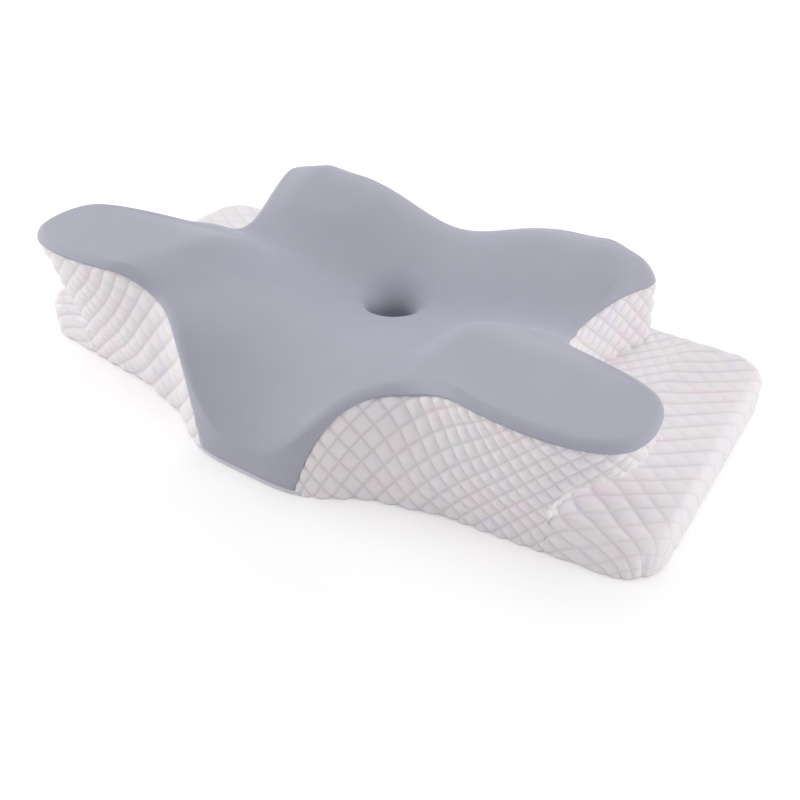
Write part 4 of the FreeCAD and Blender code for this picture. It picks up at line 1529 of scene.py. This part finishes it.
    def wing_panels(self, wing: Array) -> tuple[Patch, Patch, float]:
        """The wing's wall and the slot's ceiling as one cloth, cut along the wing's middle.

        Args:
            wing: The wing's wall.

        Returns:
            The front half, the rear half and the count of diamonds round the wing.
        """
        wide, tall = self.root_pitch
        count = run_length(wing[-1:], 1)[0] / wide
        half, ceiling = len(count) // 2, self.ceiling(wing[0])
        panels = []
        for columns, under in (
            (np.s_[:half + 1], ceiling[:, :self.half_steps + 1][:, ::-1]),
            (np.s_[half:], ceiling[::-1, self.half_steps:]),
        ):
            wall = wing[:, columns]
            under = np.swapaxes(under, 0, 1)
            points = np.concatenate([under[:-1], wall])
            depth = run_length(under, 0)
            depth = depth[-1:] - depth
            across = (wall[..., 2] - self.z.slab_height) / tall
            across = np.concatenate([across[:1] - depth[:-1] / tall, across])
            along = np.broadcast_to(count[columns], across.shape)
            patch = Quilting().lay_cells(points, along, across, edge_distance(points, "t"))
            patch.depth[:len(under), :, 2] *= 0.5
            panels.append(patch)
        return panels[0], panels[1], float(count[-1])

    def side_wall(self, wing_end: Array, count: float) -> Patch:
        """The wall from the slot's rear root round the notch to the lobe's corner.

        Args:
            wing_end: Last column of the wing's wall, which this wall starts on.
            count: Diamonds counted round the wing so far.

        Returns:
            The patch.
        """
        columns = int(205.0 / self.stride)
        share = np.linspace(0.0, 1.0, columns)
        low = self.z.slab_height - self.skirt_depth
        seam_end = wing_end[-1, 2]
        root = np.full(columns, self.z.slot_root)
        seam = self.settle(
            np.full(columns, seam_end),
            lambda height: blend(self.form.rear(root, height), self.lobe_seam, share),
        )
        seam[0] = seam_end
        upper = (wing_end[:, 2] - low) / (seam_end - low)
        lower = np.linspace(0.0, upper[0], self.bands[1] + self.skirt, endpoint=False)
        rows = np.concatenate([lower, upper])
        height = low + (seam - low) * rows[:, None]
        start = self.form.rear(np.full(height.shape, self.z.slot_root), height)
        spot = self.brim.skin(blend(start, self.lobe_seam, share), height)
        points = stack(spot[..., 0], spot[..., 1], height)
        along = count + np.broadcast_to(run_length(points[-1:], 1), height.shape) / self.wide
        across = (height - self.z.slab_height) / self.root_pitch[1]
        gap = np.minimum(edge_distance(points, "tr"), np.abs(height - self.z.slab_height))
        return Quilting().lay_cells(points, along, across, gap)

    def ceiling(self, edge: Array) -> Array:
        """Grid of the arm slot's ceiling, a row for each pair of columns of the wing's wall.

        Args:
            edge: The wing wall's lowest row.

        Returns:
            The points, from the slot's root to the wing's tip and from front to rear.
        """
        half = len(edge) // 2
        across = np.linspace(0.0, 1.0, 2 * self.half_steps + 1)
        front, rear = edge[:half + 1], edge[::-1][:half + 1]
        flat = blend(front[:, None, :2], rear[:, None, :2], across[None, :, None])
        level = self.form.slot(np.maximum(flat[..., 0], self.z.slot_root))
        excess = edge[:, 2] - self.form.slot(np.maximum(edge[:, 0], self.z.slot_root))
        lift = blend(excess[:half + 1, None], excess[::-1][:half + 1, None], across)
        fade = (1.0 - smooth(across / 0.2)) + (1.0 - smooth((1.0 - across) / 0.2))
        points = stack(flat[..., 0], flat[..., 1], level + lift * fade)
        points[:, 0], points[:, -1] = front, rear
        return points

    def root(self, fore: Array, aft: Array, count: float) -> tuple[Patch, Patch]:
        """The slot's end wall, half of it sewn to the front panel and half to the side panel.

        Args:
            fore: The front panel's edge at the slot.
            aft: The side panel's edge at the slot.
            count: Diamonds counted round the wing, at the side panel's edge.

        Returns:
            Both halves.
        """
        steps = self.half_steps
        share = np.linspace(0.0, 1.0, 2 * steps + 1)
        points = blend(fore[:, None, :], aft[:, None, :], share[None, :, None])
        run = run_length(points, 1)
        wide, tall = self.root_pitch
        across = (points[..., 2] - self.z.slab_height) / tall
        gap = np.full(run.shape, FAR)
        quilting = Quilting(puff=1.45)
        near, far = np.s_[:, :steps + 1], np.s_[:, steps:]
        behind = count - (run[:, -1:] - run) / wide
        return (
            quilting.lay_cells(points[near], run[near] / wide, across[near], gap[near]),
            quilting.lay_cells(points[far], behind[far], across[far], gap[far]),
        )

    def build(self) -> None:
        """Make the border's panels on both sides and the back."""
        front = self.front_wall()
        slot = self.bands[0] + self.bands[1]
        band = self.bands[0] - self.skirt
        wing = self.wing_wall(front.points[slot:, -1])
        fore, aft, around = self.wing_panels(wing)
        side = self.side_wall(wing[:, -1], around)
        root = self.root(front.points[band:slot + 1, -1], side.points[:slot - band + 1, 0], around)
        cloth = self.shop.finishes.quilt
        for half in Side:
            for name, patches, nodes in (
                ("front_quilt", [front, fore, root[0]], ("front_panel", "wing_underside")),
                ("side_quilt", [aft, side, root[1]], ("side_panel",)),
            ):
                sewn = patches if half is Side.RIGHT else [p.mirrored() for p in patches]
                self.shop.sew(
                    f"{name}_{half.word}", sewn, cloth, self.thickness, "quilted_knit",
                    [f"{node}_{half.word}" for node in nodes], weld=0.3,
                )
        self.back()

    def rear_roll(self, side: Array) -> Array:
        """Radius of the slab's rear edge, which opens where the lobe leaves it."""
        return self.z.slab_roll * ramp(np.abs(side), 185.0, 20.0)

    def lobe_wall(self, quilting: Quilting) -> Patch:
        """The lobes' rear wall, from one lobe's corner to the other's."""
        z = self.z
        low, high = self.lobe_seam, self.form.round - self.lobe_seam
        place = np.linspace(low, high, int(390.0 / self.stride))
        seam = self.brim.seam(place)
        rows = np.linspace(0.0, 1.0, int(self.back_rows / FINE))
        base = z.slab_height - 0.4
        height = base + (seam - base) * rows[:, None]
        spot = self.brim.skin(np.broadcast_to(place, height.shape), height)
        # Low down it is flush with the slab's face, except at the lobes' corners.
        flush = (1.0 - ramp(height, base, 18.0)) * (1.0 - ramp(np.abs(spot[..., 0]), 178.0, 8.0))
        back = blend(spot[..., 1], np.maximum(spot[..., 1], z.slab_depth), flush)
        points = stack(spot[..., 0], back, height)
        seams = edge_distance(points, "tlr")
        return quilting.lay(points, points[..., 0], height - z.slab_height, seams)

    def slab_face(
        self, quilting: Quilting, start: float, end: float,
        floor: float | None, ceiling: float | None,
    ) -> Patch:
        """One strip of the slab's rear face, between its corners.

        Args:
            quilting: How it is quilted.
            start: Side at which it starts.
            end: Side at which it ends.
            floor: Height of the zipper's opening under it, or None to start at the floor.
            ceiling: Height of the opening over it, or None to end at the slab's top.

        Returns:
            The patch.
        """
        z, reach = self.z, self.z.slab_length / 2.0 - self.z.slab_corner
        low = self.floor_gap if floor is None else floor
        side = np.linspace(start, end, max(int((end - start) / self.stride), 2))
        top = z.slab_height - self.rear_roll(side)
        if ceiling is not None:
            top = np.full(side.shape, ceiling)
        share = np.linspace(0.0, 1.0, max(int((float(top.max()) - low) / self.stride), 4))
        height = low + (top - low) * share[:, None]
        across = np.broadcast_to(side, height.shape)
        lip = 0.0
        if floor is not None or ceiling is not None:
            near = edge_distance(stack(across, 0.0, height), "tb")
            lip = np.clip(1.0 - near, 0.0, 1.0)
        past = np.clip(np.abs(side) - reach, 0.0, None)
        turn = z.slab_corner - np.sqrt(z.slab_corner**2 - past**2) + 0.5 * smooth(past / 1.5)
        back = z.slab_depth - self.foot_inset(height) - 0.5 * lip - turn
        points = stack(across, back, height)
        edges = "t" if ceiling is not None else ("b" if floor is not None else "")
        seams = edge_distance(points, edges)
        patch = quilting.lay(points, points[..., 0], height - z.slab_height, seams)
        if edges:
            patch.depth[..., 2] *= smooth(seams / 5.0)
        return patch

    def back(self) -> None:
        """The back panel: the lobes' rear wall and the slab's face with the zipper's opening."""
        quilting = Quilting(wide=self.wide, tall=self.wide, puff=1.5)
        reach = self.z.slab_length / 2.0 - self.z.slab_corner + 3.0
        half, level, lip = self.zipper_half, self.zipper_level, self.lip_half
        strips = (
            (-reach, -half, None, None), (half, reach, None, None),
            (-half, half, None, level - lip), (-half, half, level + lip, None),
        )
        patches = [self.lobe_wall(quilting)]
        patches += [self.slab_face(quilting, *strip) for strip in strips]
        self.shop.sew(
            "back_quilt", patches, self.shop.finishes.quilt, 1.2, "quilted_knit", ["back_panel"],
            tuck=0.5, tuck_width=1.6,
        )


# ---- armrests and underside
@dataclass
class SlabCover:
    """The cloth over the slab's ends: armrest top, rolled edge and end walls, and the underside."""

    shop: Workshop
    border: QuiltedBorder
    thickness: float = 1.8
    open_run: float = 14.0
    lobe_foot: float = 174.0
    front_roll: float = 0.75
    top_rows: int = 70
    roll_rows: int = 14
    wall_rows: int = 20
    corner_points: int = 40
    tuck_in: float = 1.6
    crease: float = 1.2
    pitch: tuple[float, float] = (24.0, 18.5)
    bottom_rows: int = 50
    bottom_level: float = 0.45

    def __post_init__(self) -> None:
        """Take the form and the steps."""
        self.form = self.shop.form
        self.z = self.form.z
        self.stride = self.border.stride

    def edge_path(self) -> tuple[Array, Array]:
        """The slab's outer edge, inset by its roll, from the slot's front root to the lobe.

        Returns:
            The path's points, and the outward direction at each.
        """
        z = self.z
        half, corner, depth = z.slab_length / 2.0, z.slab_corner, z.slab_depth
        pieces: list[tuple[Array, Array]] = []

        def straight(start: tuple, end: tuple, out: tuple) -> None:
            """Add an even straight run."""
            count = max(int(math.dist(start, end) / self.stride), 2)
            share = np.linspace(0.0, 1.0, count, endpoint=False)[:, None]
            run = np.array(start) + (np.array(end) - np.array(start)) * share
            pieces.append((run, np.broadcast_to(np.array(out, float), run.shape)))

        def bend(centre: tuple, start: float, end: float) -> None:
            """Add a corner's arc between two angles in degrees."""
            count = int(self.corner_points / FINE)
            angle = np.radians(np.linspace(start, end, count, endpoint=False))
            out = np.stack([np.cos(angle), np.sin(angle)], axis=-1)
            pieces.append((np.array(centre) + corner * out, out))

        straight((z.slot_root, 0.0), (half - corner, 0.0), (0.0, -1.0))
        bend((half - corner, corner), -90.0, 0.0)
        straight((half, corner), (half, depth - corner), (1.0, 0.0))
        bend((half - corner, depth - corner), 0.0, 90.0)
        straight((half - corner, depth), (self.lobe_foot, depth), (0.0, 1.0))
        points = np.concatenate([p for p, _ in pieces] + [np.array([[self.lobe_foot, depth]])])
        outward = np.concatenate([o for _, o in pieces] + [np.array([[0.0, 1.0]])])
        return points, outward

    def inner_path(self, count: int) -> Array:
        """The armrest's inner edge, just under the walls, with a given number of points."""
        z = self.z
        level = np.array(z.slab_height)
        rear_place = float(self.form.rear(np.array(z.slot_root), level))
        rear = self.form.wall(np.array(rear_place), level)
        places = np.linspace(rear_place, self.lobe_end(), 220)
        wall = self.form.wall(places, z.slab_height)
        wall = wall + self.form.inward(places, z.slab_height) * self.tuck_in
        back = np.linspace(self.front_roll * z.slab_roll, rear[1], 60, endpoint=False)
        root = np.stack([np.full(60, z.slot_root - 3.5), back], axis=-1)
        path = np.concatenate([root, wall])
        run = np.concatenate([[0.0], np.cumsum(np.linalg.norm(np.diff(path, axis=0), axis=1))])
        wanted = np.linspace(0.0, run[-1], count)
        return np.stack([np.interp(wanted, run, path[:, i]) for i in (0, 1)], axis=-1)

    def lobe_end(self) -> float:
        """Place on the lobe's rear at which the armrest ends."""
        marks, corner = self.form.marks, self.form.LOBE_CORNER
        places = np.linspace(marks[corner], marks[corner + 2], 200)
        sides = self.form.wall(places, self.z.slab_height)[:, 0]
        return float(places[int(np.argmin(np.abs(sides - self.lobe_foot)))])

    def wrap(self) -> Patch:
        """Armrest top, roll and end wall as one cloth."""
        z = self.z
        edge, outward = self.edge_path()
        roll = np.where(edge[:, 1] < z.slab_depth / 2.0, self.front_roll * z.slab_roll, z.slab_roll)
        rear = edge[:, 1] > z.slab_depth / 2.0
        roll = np.where(rear, self.border.rear_roll(edge[:, 0]), roll)
        shoulder = edge - outward * roll[:, None]
        inner = self.inner_path(len(edge))
        rows, spread = [], []
        for share in np.linspace(0.0, 1.0, int(self.top_rows / FINE)):
            flat = blend(inner, shoulder, share)
            crease = self.crease * math.exp(-((share * 60.0 / 5.0) ** 2))
            rows.append(self.placed(flat, np.full(len(edge), z.slab_height - crease)))
            spread.append(flat)
        for turn in np.linspace(0.0, math.pi / 2.0, int(self.roll_rows / FINE) + 1)[1:]:
            flat = shoulder + outward * (roll * math.sin(turn))[:, None]
            rows.append(self.placed(flat, z.slab_height - roll * (1.0 - math.cos(turn))))
            spread.append(shoulder + outward * (roll * turn * 4.0 / math.pi)[:, None])
        corner = z.slab_length / 2.0 - z.slab_corner
        split = rear & (edge[:, 0] < corner + 0.5)
        for share in np.linspace(0.0, 1.0, int(self.wall_rows / FINE) + 1)[1:]:
            low = np.where(split, z.slab_height - roll - 0.02, self.border.floor_gap)
            height = blend(z.slab_height - roll, low, share)
            inset = np.where(split, 0.0, self.border.foot_inset(height))
            rows.append(self.placed(edge - outward * inset[:, None], height))
            drop = roll + z.slab_height - height
            spread.append(shoulder + outward * drop[:, None])
        grid, flat = np.array(rows), np.array(spread)
        u, v = flat[..., 0], flat[..., 1]
        wide, tall = self.border.root_pitch
        away = ramp(u, z.slot_root, 30.0)
        along = (u - z.slot_root) / blend(wide, self.pitch[0], away)
        across = np.where(v < 0.0, v / tall, v / blend(tall, self.pitch[1], smooth(v / 40.0)))
        patch = Quilting().lay_cells(grid, along, across, self.corner_gap(grid, edge))
        # The relief is shallower on the armrest, and shallowest on the end wall.
        patch.depth[..., 2] *= blend(1.0, 0.8, away)
        patch.depth[..., 0] = blend(1.0, 0.35, ramp(v, 25.0, 70.0))
        patch.depth[..., 1] = blend(1.0, blend(0.6, 1.0, ramp(v, 5.0, 50.0)), away)
        end = smooth((grid[..., 0] - corner - 8.0) / 26.0)
        patch.depth *= blend(1.0, 0.5, end)[..., None]
        return patch

    def placed(self, flat: Array, height: Array) -> Array:
        """Slab points with the front's bulge, and with the wall's lean beside the slot's root."""
        x, y = flat[..., 0], flat[..., 1]
        bowed = y - self.form.bow(x, y, np.zeros(x.shape))
        root = np.full(height.shape, self.z.slot_root)
        wall = self.border.front_face(root, height)[..., 1] - self.border.foot_inset(height)
        offset = wall + self.form.bow(root, np.zeros(x.shape), np.zeros(x.shape))
        fade = (1.0 - smooth((x - self.z.slot_root) / self.open_run)) * (1.0 - smooth(y / 12.0))
        return stack(x, bowed + offset * fade, height)

    def corner_gap(self, grid: Array, edge: Array) -> Array:
        """Distance to the short upright seam at each of the slab's corners."""
        z = self.z
        gap = np.full(grid.shape[:2], FAR)
        inset = z.slab_corner * (1.0 - math.sqrt(0.5))
        for back in (inset, z.slab_depth - inset):
            away = np.linalg.norm(edge - np.array([z.slab_length / 2.0 - inset, back]), axis=-1)
            above = np.clip(grid[..., 2] - 22.0, 0.0, None)
            gap = np.minimum(gap, away[None, :] + above * 1.5)
        return gap

    def build(self) -> None:
        """Make both slab covers and the underside."""
        patch = self.wrap()
        for half in Side:
            one = patch if half is Side.RIGHT else patch.mirrored()
            self.shop.sew(
                f"armrest_quilt_{half.word}", [one], self.shop.finishes.quilt, self.thickness,
                "quilted_knit", [f"armrest_panel_{half.word}", f"end_panel_{half.word}"],
            )
        self.underside()

    def footprint(self) -> Array:
        """Outline of the pillow on the floor, right half and its mirror image."""
        edge, _ = self.edge_path()
        level = self.border.floor_gap
        side = np.linspace(self.z.nose_half, self.z.slot_root, 90)
        front = self.border.front_face(side, np.full(90, level))[:, :2]
        front[:, 1] -= float(self.border.foot_inset(np.array(level)))
        nose = self.form.wall(np.linspace(0.0, self.form.marks[self.form.NOSE_CORNER], 20), level)
        slab = self.placed(edge, np.full(len(edge), level))[:, :2]
        rear = np.linspace(slab[-1], (0.0, self.z.slab_depth), 120)
        half = np.concatenate([nose, front[1:], slab, rear[1:]])
        return np.concatenate([half, half[::-1] * np.array([-1.0, 1.0])])

    def underside(self) -> None:
        """The flat bottom, with its edge rolled up to the border's lower seam."""
        z = self.z
        angle = np.linspace(-math.pi / 2.0, 1.5 * math.pi, int(720 / FINE) + 1)
        outline = self.footprint()
        turn = np.unwrap(np.arctan2(outline[:, 1] - z.vent_back, outline[:, 0]))
        length = np.hypot(outline[:, 0], outline[:, 1] - z.vent_back)
        reach = np.interp(angle, turn, length)
        roll = self.border.foot_roll
        way = np.stack([np.cos(angle), np.sin(angle)], axis=-1)
        rings = []
        for share in np.linspace(0.0, 1.0, int(self.bottom_rows / FINE)):
            radius = blend(z.vent_radius + 1.4, reach - roll, share)
            rings.append((radius, self.bottom_level))
        for turn in np.radians((20.0, 40.0, 56.0)):
            radius = reach - roll + (roll - 0.4) * math.sin(turn)
            rings.append((radius, self.bottom_level + (roll - 0.4) * (1.0 - math.cos(turn))))
        grid = np.array([
            stack(way[:, 0] * radius, z.vent_back + way[:, 1] * radius, height)
            for radius, height in rings
        ])
        quilting = Quilting(wide=24.0, tall=22.0, puff=0.5)
        patch = quilting.lay(grid, grid[..., 0], grid[..., 1], np.full(grid.shape[:2], FAR))
        self.shop.sew(
            "bottom_quilt", [patch], self.shop.finishes.quilt, 1.5, "quilted_knit",
            ["bottom_panel"], tuck=0.0, sink=0.9,
        )


# ---- zipper
@dataclass
class Zipper:
    """Coil rows, stitched tapes, stops, slider and pull tab of the back zipper."""

    shop: Workshop
    border: QuiltedBorder
    pitch: float = 1.35
    wire: float = 0.28
    lean: float = 9.0
    seam_gap: float = 1.6
    stitch: tuple[float, float, float] = (3.0, 2.3, 0.5)

    def build(self) -> None:
        """Make the coils and stitches, and dress the tapes and metal pieces."""
        for row in ("upper", "lower"):
            self.coil(row)
            set_finish(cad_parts[f"zipper_tape_{row}"], self.shop.finishes.tape)
        for node in ("zipper_top_stops", "zipper_bottom_stop"):
            set_finish(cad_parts[node], self.shop.finishes.zinc)
        self.metal("slider_casting", "zipper_slider", "slider")
        self.metal("pull_tab_plate", "zipper_pull_tab", "pull_tab")
        self.stitch_rows()

    def coil(self, row: str) -> None:
        """One row of teeth, wound along its CAD bar."""
        name = f"zipper_coil_{row}"
        low, high = (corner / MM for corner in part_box(name))
        back = (low.y + high.y) / 2.0 - self.shop.front_line
        level = (low.z + high.z) / 2.0
        ends = (low.x + self.pitch, high.x - self.pitch)
        path = stack(np.array(ends), np.array([back, back]), np.array([level, level]))
        piece = mesh_object(f"coil_teeth_{row}", self.shop.path_mesh(name, [path]))
        run_tree(piece, self.shop.coils, {
            "Pitch": self.pitch * MM,
            "Width": (high.z - low.z - 2.0 * self.wire) * MM,
            "Depth": (high.y - low.y - 2.0 * self.wire) * MM,
            "Wire": self.wire * MM,
            "Lean": math.radians(self.lean if row == "upper" else -self.lean),
            "Nylon": self.shop.finishes.nylon,
        })
        keep_evaluated(piece)
        self.shop.attach(piece, "zipper_coil", [name])

    def metal(self, name: str, node: str, body: str) -> None:
        """A cast metal piece: the CAD shape with its edges broken."""
        def join(work: bmesh.types.BMesh) -> None:
            """Join the triangles into the casting's faces."""
            bmesh.ops.remove_doubles(work, verts=work.verts[:], dist=0.005 * MM)
            bmesh.ops.dissolve_limit(
                work, angle_limit=math.radians(4.0), verts=work.verts[:], edges=work.edges[:]
            )

        mesh = bpy.data.meshes.new(name)
        rework(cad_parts[node].data, mesh, join)
        piece = mesh_object(name, mesh)
        add_modifier(
            piece, "BEVEL", width=0.12 * MM, segments=2, limit_method="ANGLE",
            angle_limit=math.radians(40.0), use_clamp_overlap=True,
        )
        keep_evaluated(piece)
        set_finish(piece, self.shop.finishes.zinc)
        self.shop.attach(piece, "zipper_metal", [node], body)

    def stitch_rows(self) -> None:
        """Rows of stitches that hold the cover's turned edges to the tapes."""
        border, name = self.border, "zipper_stitches"
        back = self.shop.form.z.slab_depth + 0.1
        side = np.linspace(-border.zipper_half + 1.0, border.zipper_half - 1.0, 60)
        away = border.lip_half + self.seam_gap
        paths = [stack(side, back, border.zipper_level + offset) for offset in (-away, away)]
        piece = mesh_object(name, self.shop.path_mesh(name, paths))
        pitch, length, thickness = (size * MM for size in self.stitch)
        run_tree(piece, self.shop.stitches, {
            "Pitch": pitch, "Length": length, "Thickness": thickness,
            "Thread": self.shop.finishes.thread,
        })
        keep_evaluated(piece)
        self.shop.attach(piece, "quilted_knit")


# ---- inside
@dataclass
class Filling:
    """The foam core and the jersey bag round it, inside the cover."""

    shop: Workshop
    voxel: float = 5.0
    bag_gap: float = 4.5
    foam_gap: float = 6.0

    def build(self) -> None:
        """Make the moulded foam and the bag."""
        finishes = self.shop.finishes
        self.block("foam_block", self.foam_gap, 0.0, finishes.foam, "foam", "foam_core")
        self.block("jersey_bag", self.bag_gap, 0.8, finishes.liner, "liner", "inner_liner")

    def block(
        self, name: str, gap: float, wall: float, finish: Material, slot: str, node: str
    ) -> None:
        """One soft body, eased all round so that it stays inside the cover.

        Args:
            name: The piece's name.
            gap: Distance inside the core's own surface.
            wall: Thickness of its cloth, or 0 for a full block.
            finish: Its finish.
            slot: Material slot of the record; not used.
            node: CAD node that it replaces.
        """
        mesh = bpy.data.meshes.new(name)
        rework(
            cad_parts["foam_core"].data, mesh,
            lambda work: bmesh.ops.remove_doubles(work, verts=work.verts[:], dist=0.01 * MM),
        )
        piece = mesh_object(name, mesh)
        add_modifier(
            piece, "REMESH", mode="VOXEL", voxel_size=self.voxel * MM, use_smooth_shade=True
        )
        add_modifier(piece, "SMOOTH", factor=0.5, iterations=6)
        add_modifier(piece, "DISPLACE", strength=-gap * MM, mid_level=0.0, direction="NORMAL")
        if wall > 0.0:
            add_modifier(piece, "SOLIDIFY", thickness=wall * MM, offset=-1.0)
        keep_evaluated(piece)
        set_finish(piece, finish)
        self.shop.attach(piece, slot, [node])


# ---- studio
@dataclass(frozen=True)
class Softbox:
    """A square soft lamp that points at the pillow, in metres and watts."""

    name: str
    place: tuple[float, float, float]
    size: float
    power: float


@dataclass
class Studio:
    """White paper floor, soft lamps and the camera."""

    LAMPS = (
        Softbox("left_softbox", (-1.9, -0.1, 0.9), 1.3, 12.0),
        Softbox("left_front_softbox", (-1.6, -1.1, 0.5), 1.0, 11.0),
        Softbox("right_softbox", (1.9, 0.1, 0.9), 1.3, 12.0),
        Softbox("right_back_softbox", (1.5, 1.3, 0.8), 1.0, 4.5),
        Softbox("back_softbox", (0.0, 1.9, 1.1), 1.4, 7.0),
        Softbox("overhead_softbox", (-0.2, 0.3, 2.1), 1.7, 7.0),
    )
    AMBIENT = 0.42

    eye: tuple[float, float, float] = (389.1, -535.6, 456.9)
    target: tuple[float, float, float] = (76.2, -64.1, 40.0)
    lens: float = 40.2

    def build(self) -> None:
        """Make the floor, the lamps, the world and the camera."""
        self.floor()
        for lamp in self.LAMPS:
            self.lamp(lamp)
        world = bpy.data.worlds.new("Studio")
        bpy.context.scene.world = world
        world.use_nodes = True
        tree = world.node_tree
        shade = tree.nodes["Background"]
        paths = add_node(tree, "ShaderNodeLightPath")
        camera_ray, glossy_ray = paths.outputs["Is Camera Ray"], paths.outputs["Is Glossy Ray"]
        seen = add_node(tree, MATH, {0: camera_ray, 1: glossy_ray}, operation="MAXIMUM")
        level = add_node(
            tree, "ShaderNodeMapRange", {"To Min": self.AMBIENT, "To Max": 1.0, "Value": seen}
        )
        tree.links.new(level.outputs[0], shade.inputs["Strength"])
        shade.inputs["Color"].default_value = (1.0, 1.0, 1.0, 1.0)
        camera = bpy.data.objects.new("camera", bpy.data.cameras.new("camera"))
        bpy.context.scene.collection.objects.link(camera)
        camera.data.lens = self.lens
        camera.data.sensor_width = 36.0
        camera.location = Vector(self.eye) * MM
        camera.rotation_euler = self.aim(self.eye, self.target)
        bpy.context.scene.camera = camera
        bpy.context.scene.view_settings.view_transform = "Standard"

    @staticmethod
    def aim(place: Sequence[float], target: Sequence[float]) -> Euler:
        """Rotation that turns a lamp or camera from its place to a target."""
        return (Vector(target) - Vector(place)).to_track_quat("-Z", "Y").to_euler()

    @staticmethod
    def floor() -> None:
        """A wide sheet of white paper under the pillow."""
        work = bmesh.new()
        bmesh.ops.create_grid(work, x_segments=24, y_segments=24, size=6.0)
        mesh = bpy.data.meshes.new("floor")
        work.to_mesh(mesh)
        work.free()
        piece = mesh_object("floor", mesh)
        mesh.materials.append(StudioPaper().build())

    def lamp(self, box: Softbox) -> None:
        """Hang one lamp."""
        data = bpy.data.lights.new(box.name, "AREA")
        data.shape, data.size, data.energy = "SQUARE", box.size, box.power
        lamp = bpy.data.objects.new(box.name, data)
        lamp.location = box.place
        lamp.rotation_euler = self.aim(box.place, (0.0, 0.0, 0.05))
        bpy.context.scene.collection.objects.link(lamp)


def main() -> None:
    """Build every sub-assembly in order."""
    logging.basicConfig(level=logging.INFO, format="%(name)s %(message)s")
    shop = Workshop(PillowForm(FormSizes()), Finishes())
    border = QuiltedBorder(shop)
    assemblies = (
        TopCover(shop), border, SlabCover(shop, border), Zipper(shop, border), Filling(shop),
        Studio(),
    )
    for assembly in assemblies:
        assembly.build()
        LOG.info("%s done", type(assembly).__name__)


if __name__ == "__main__":
    main()
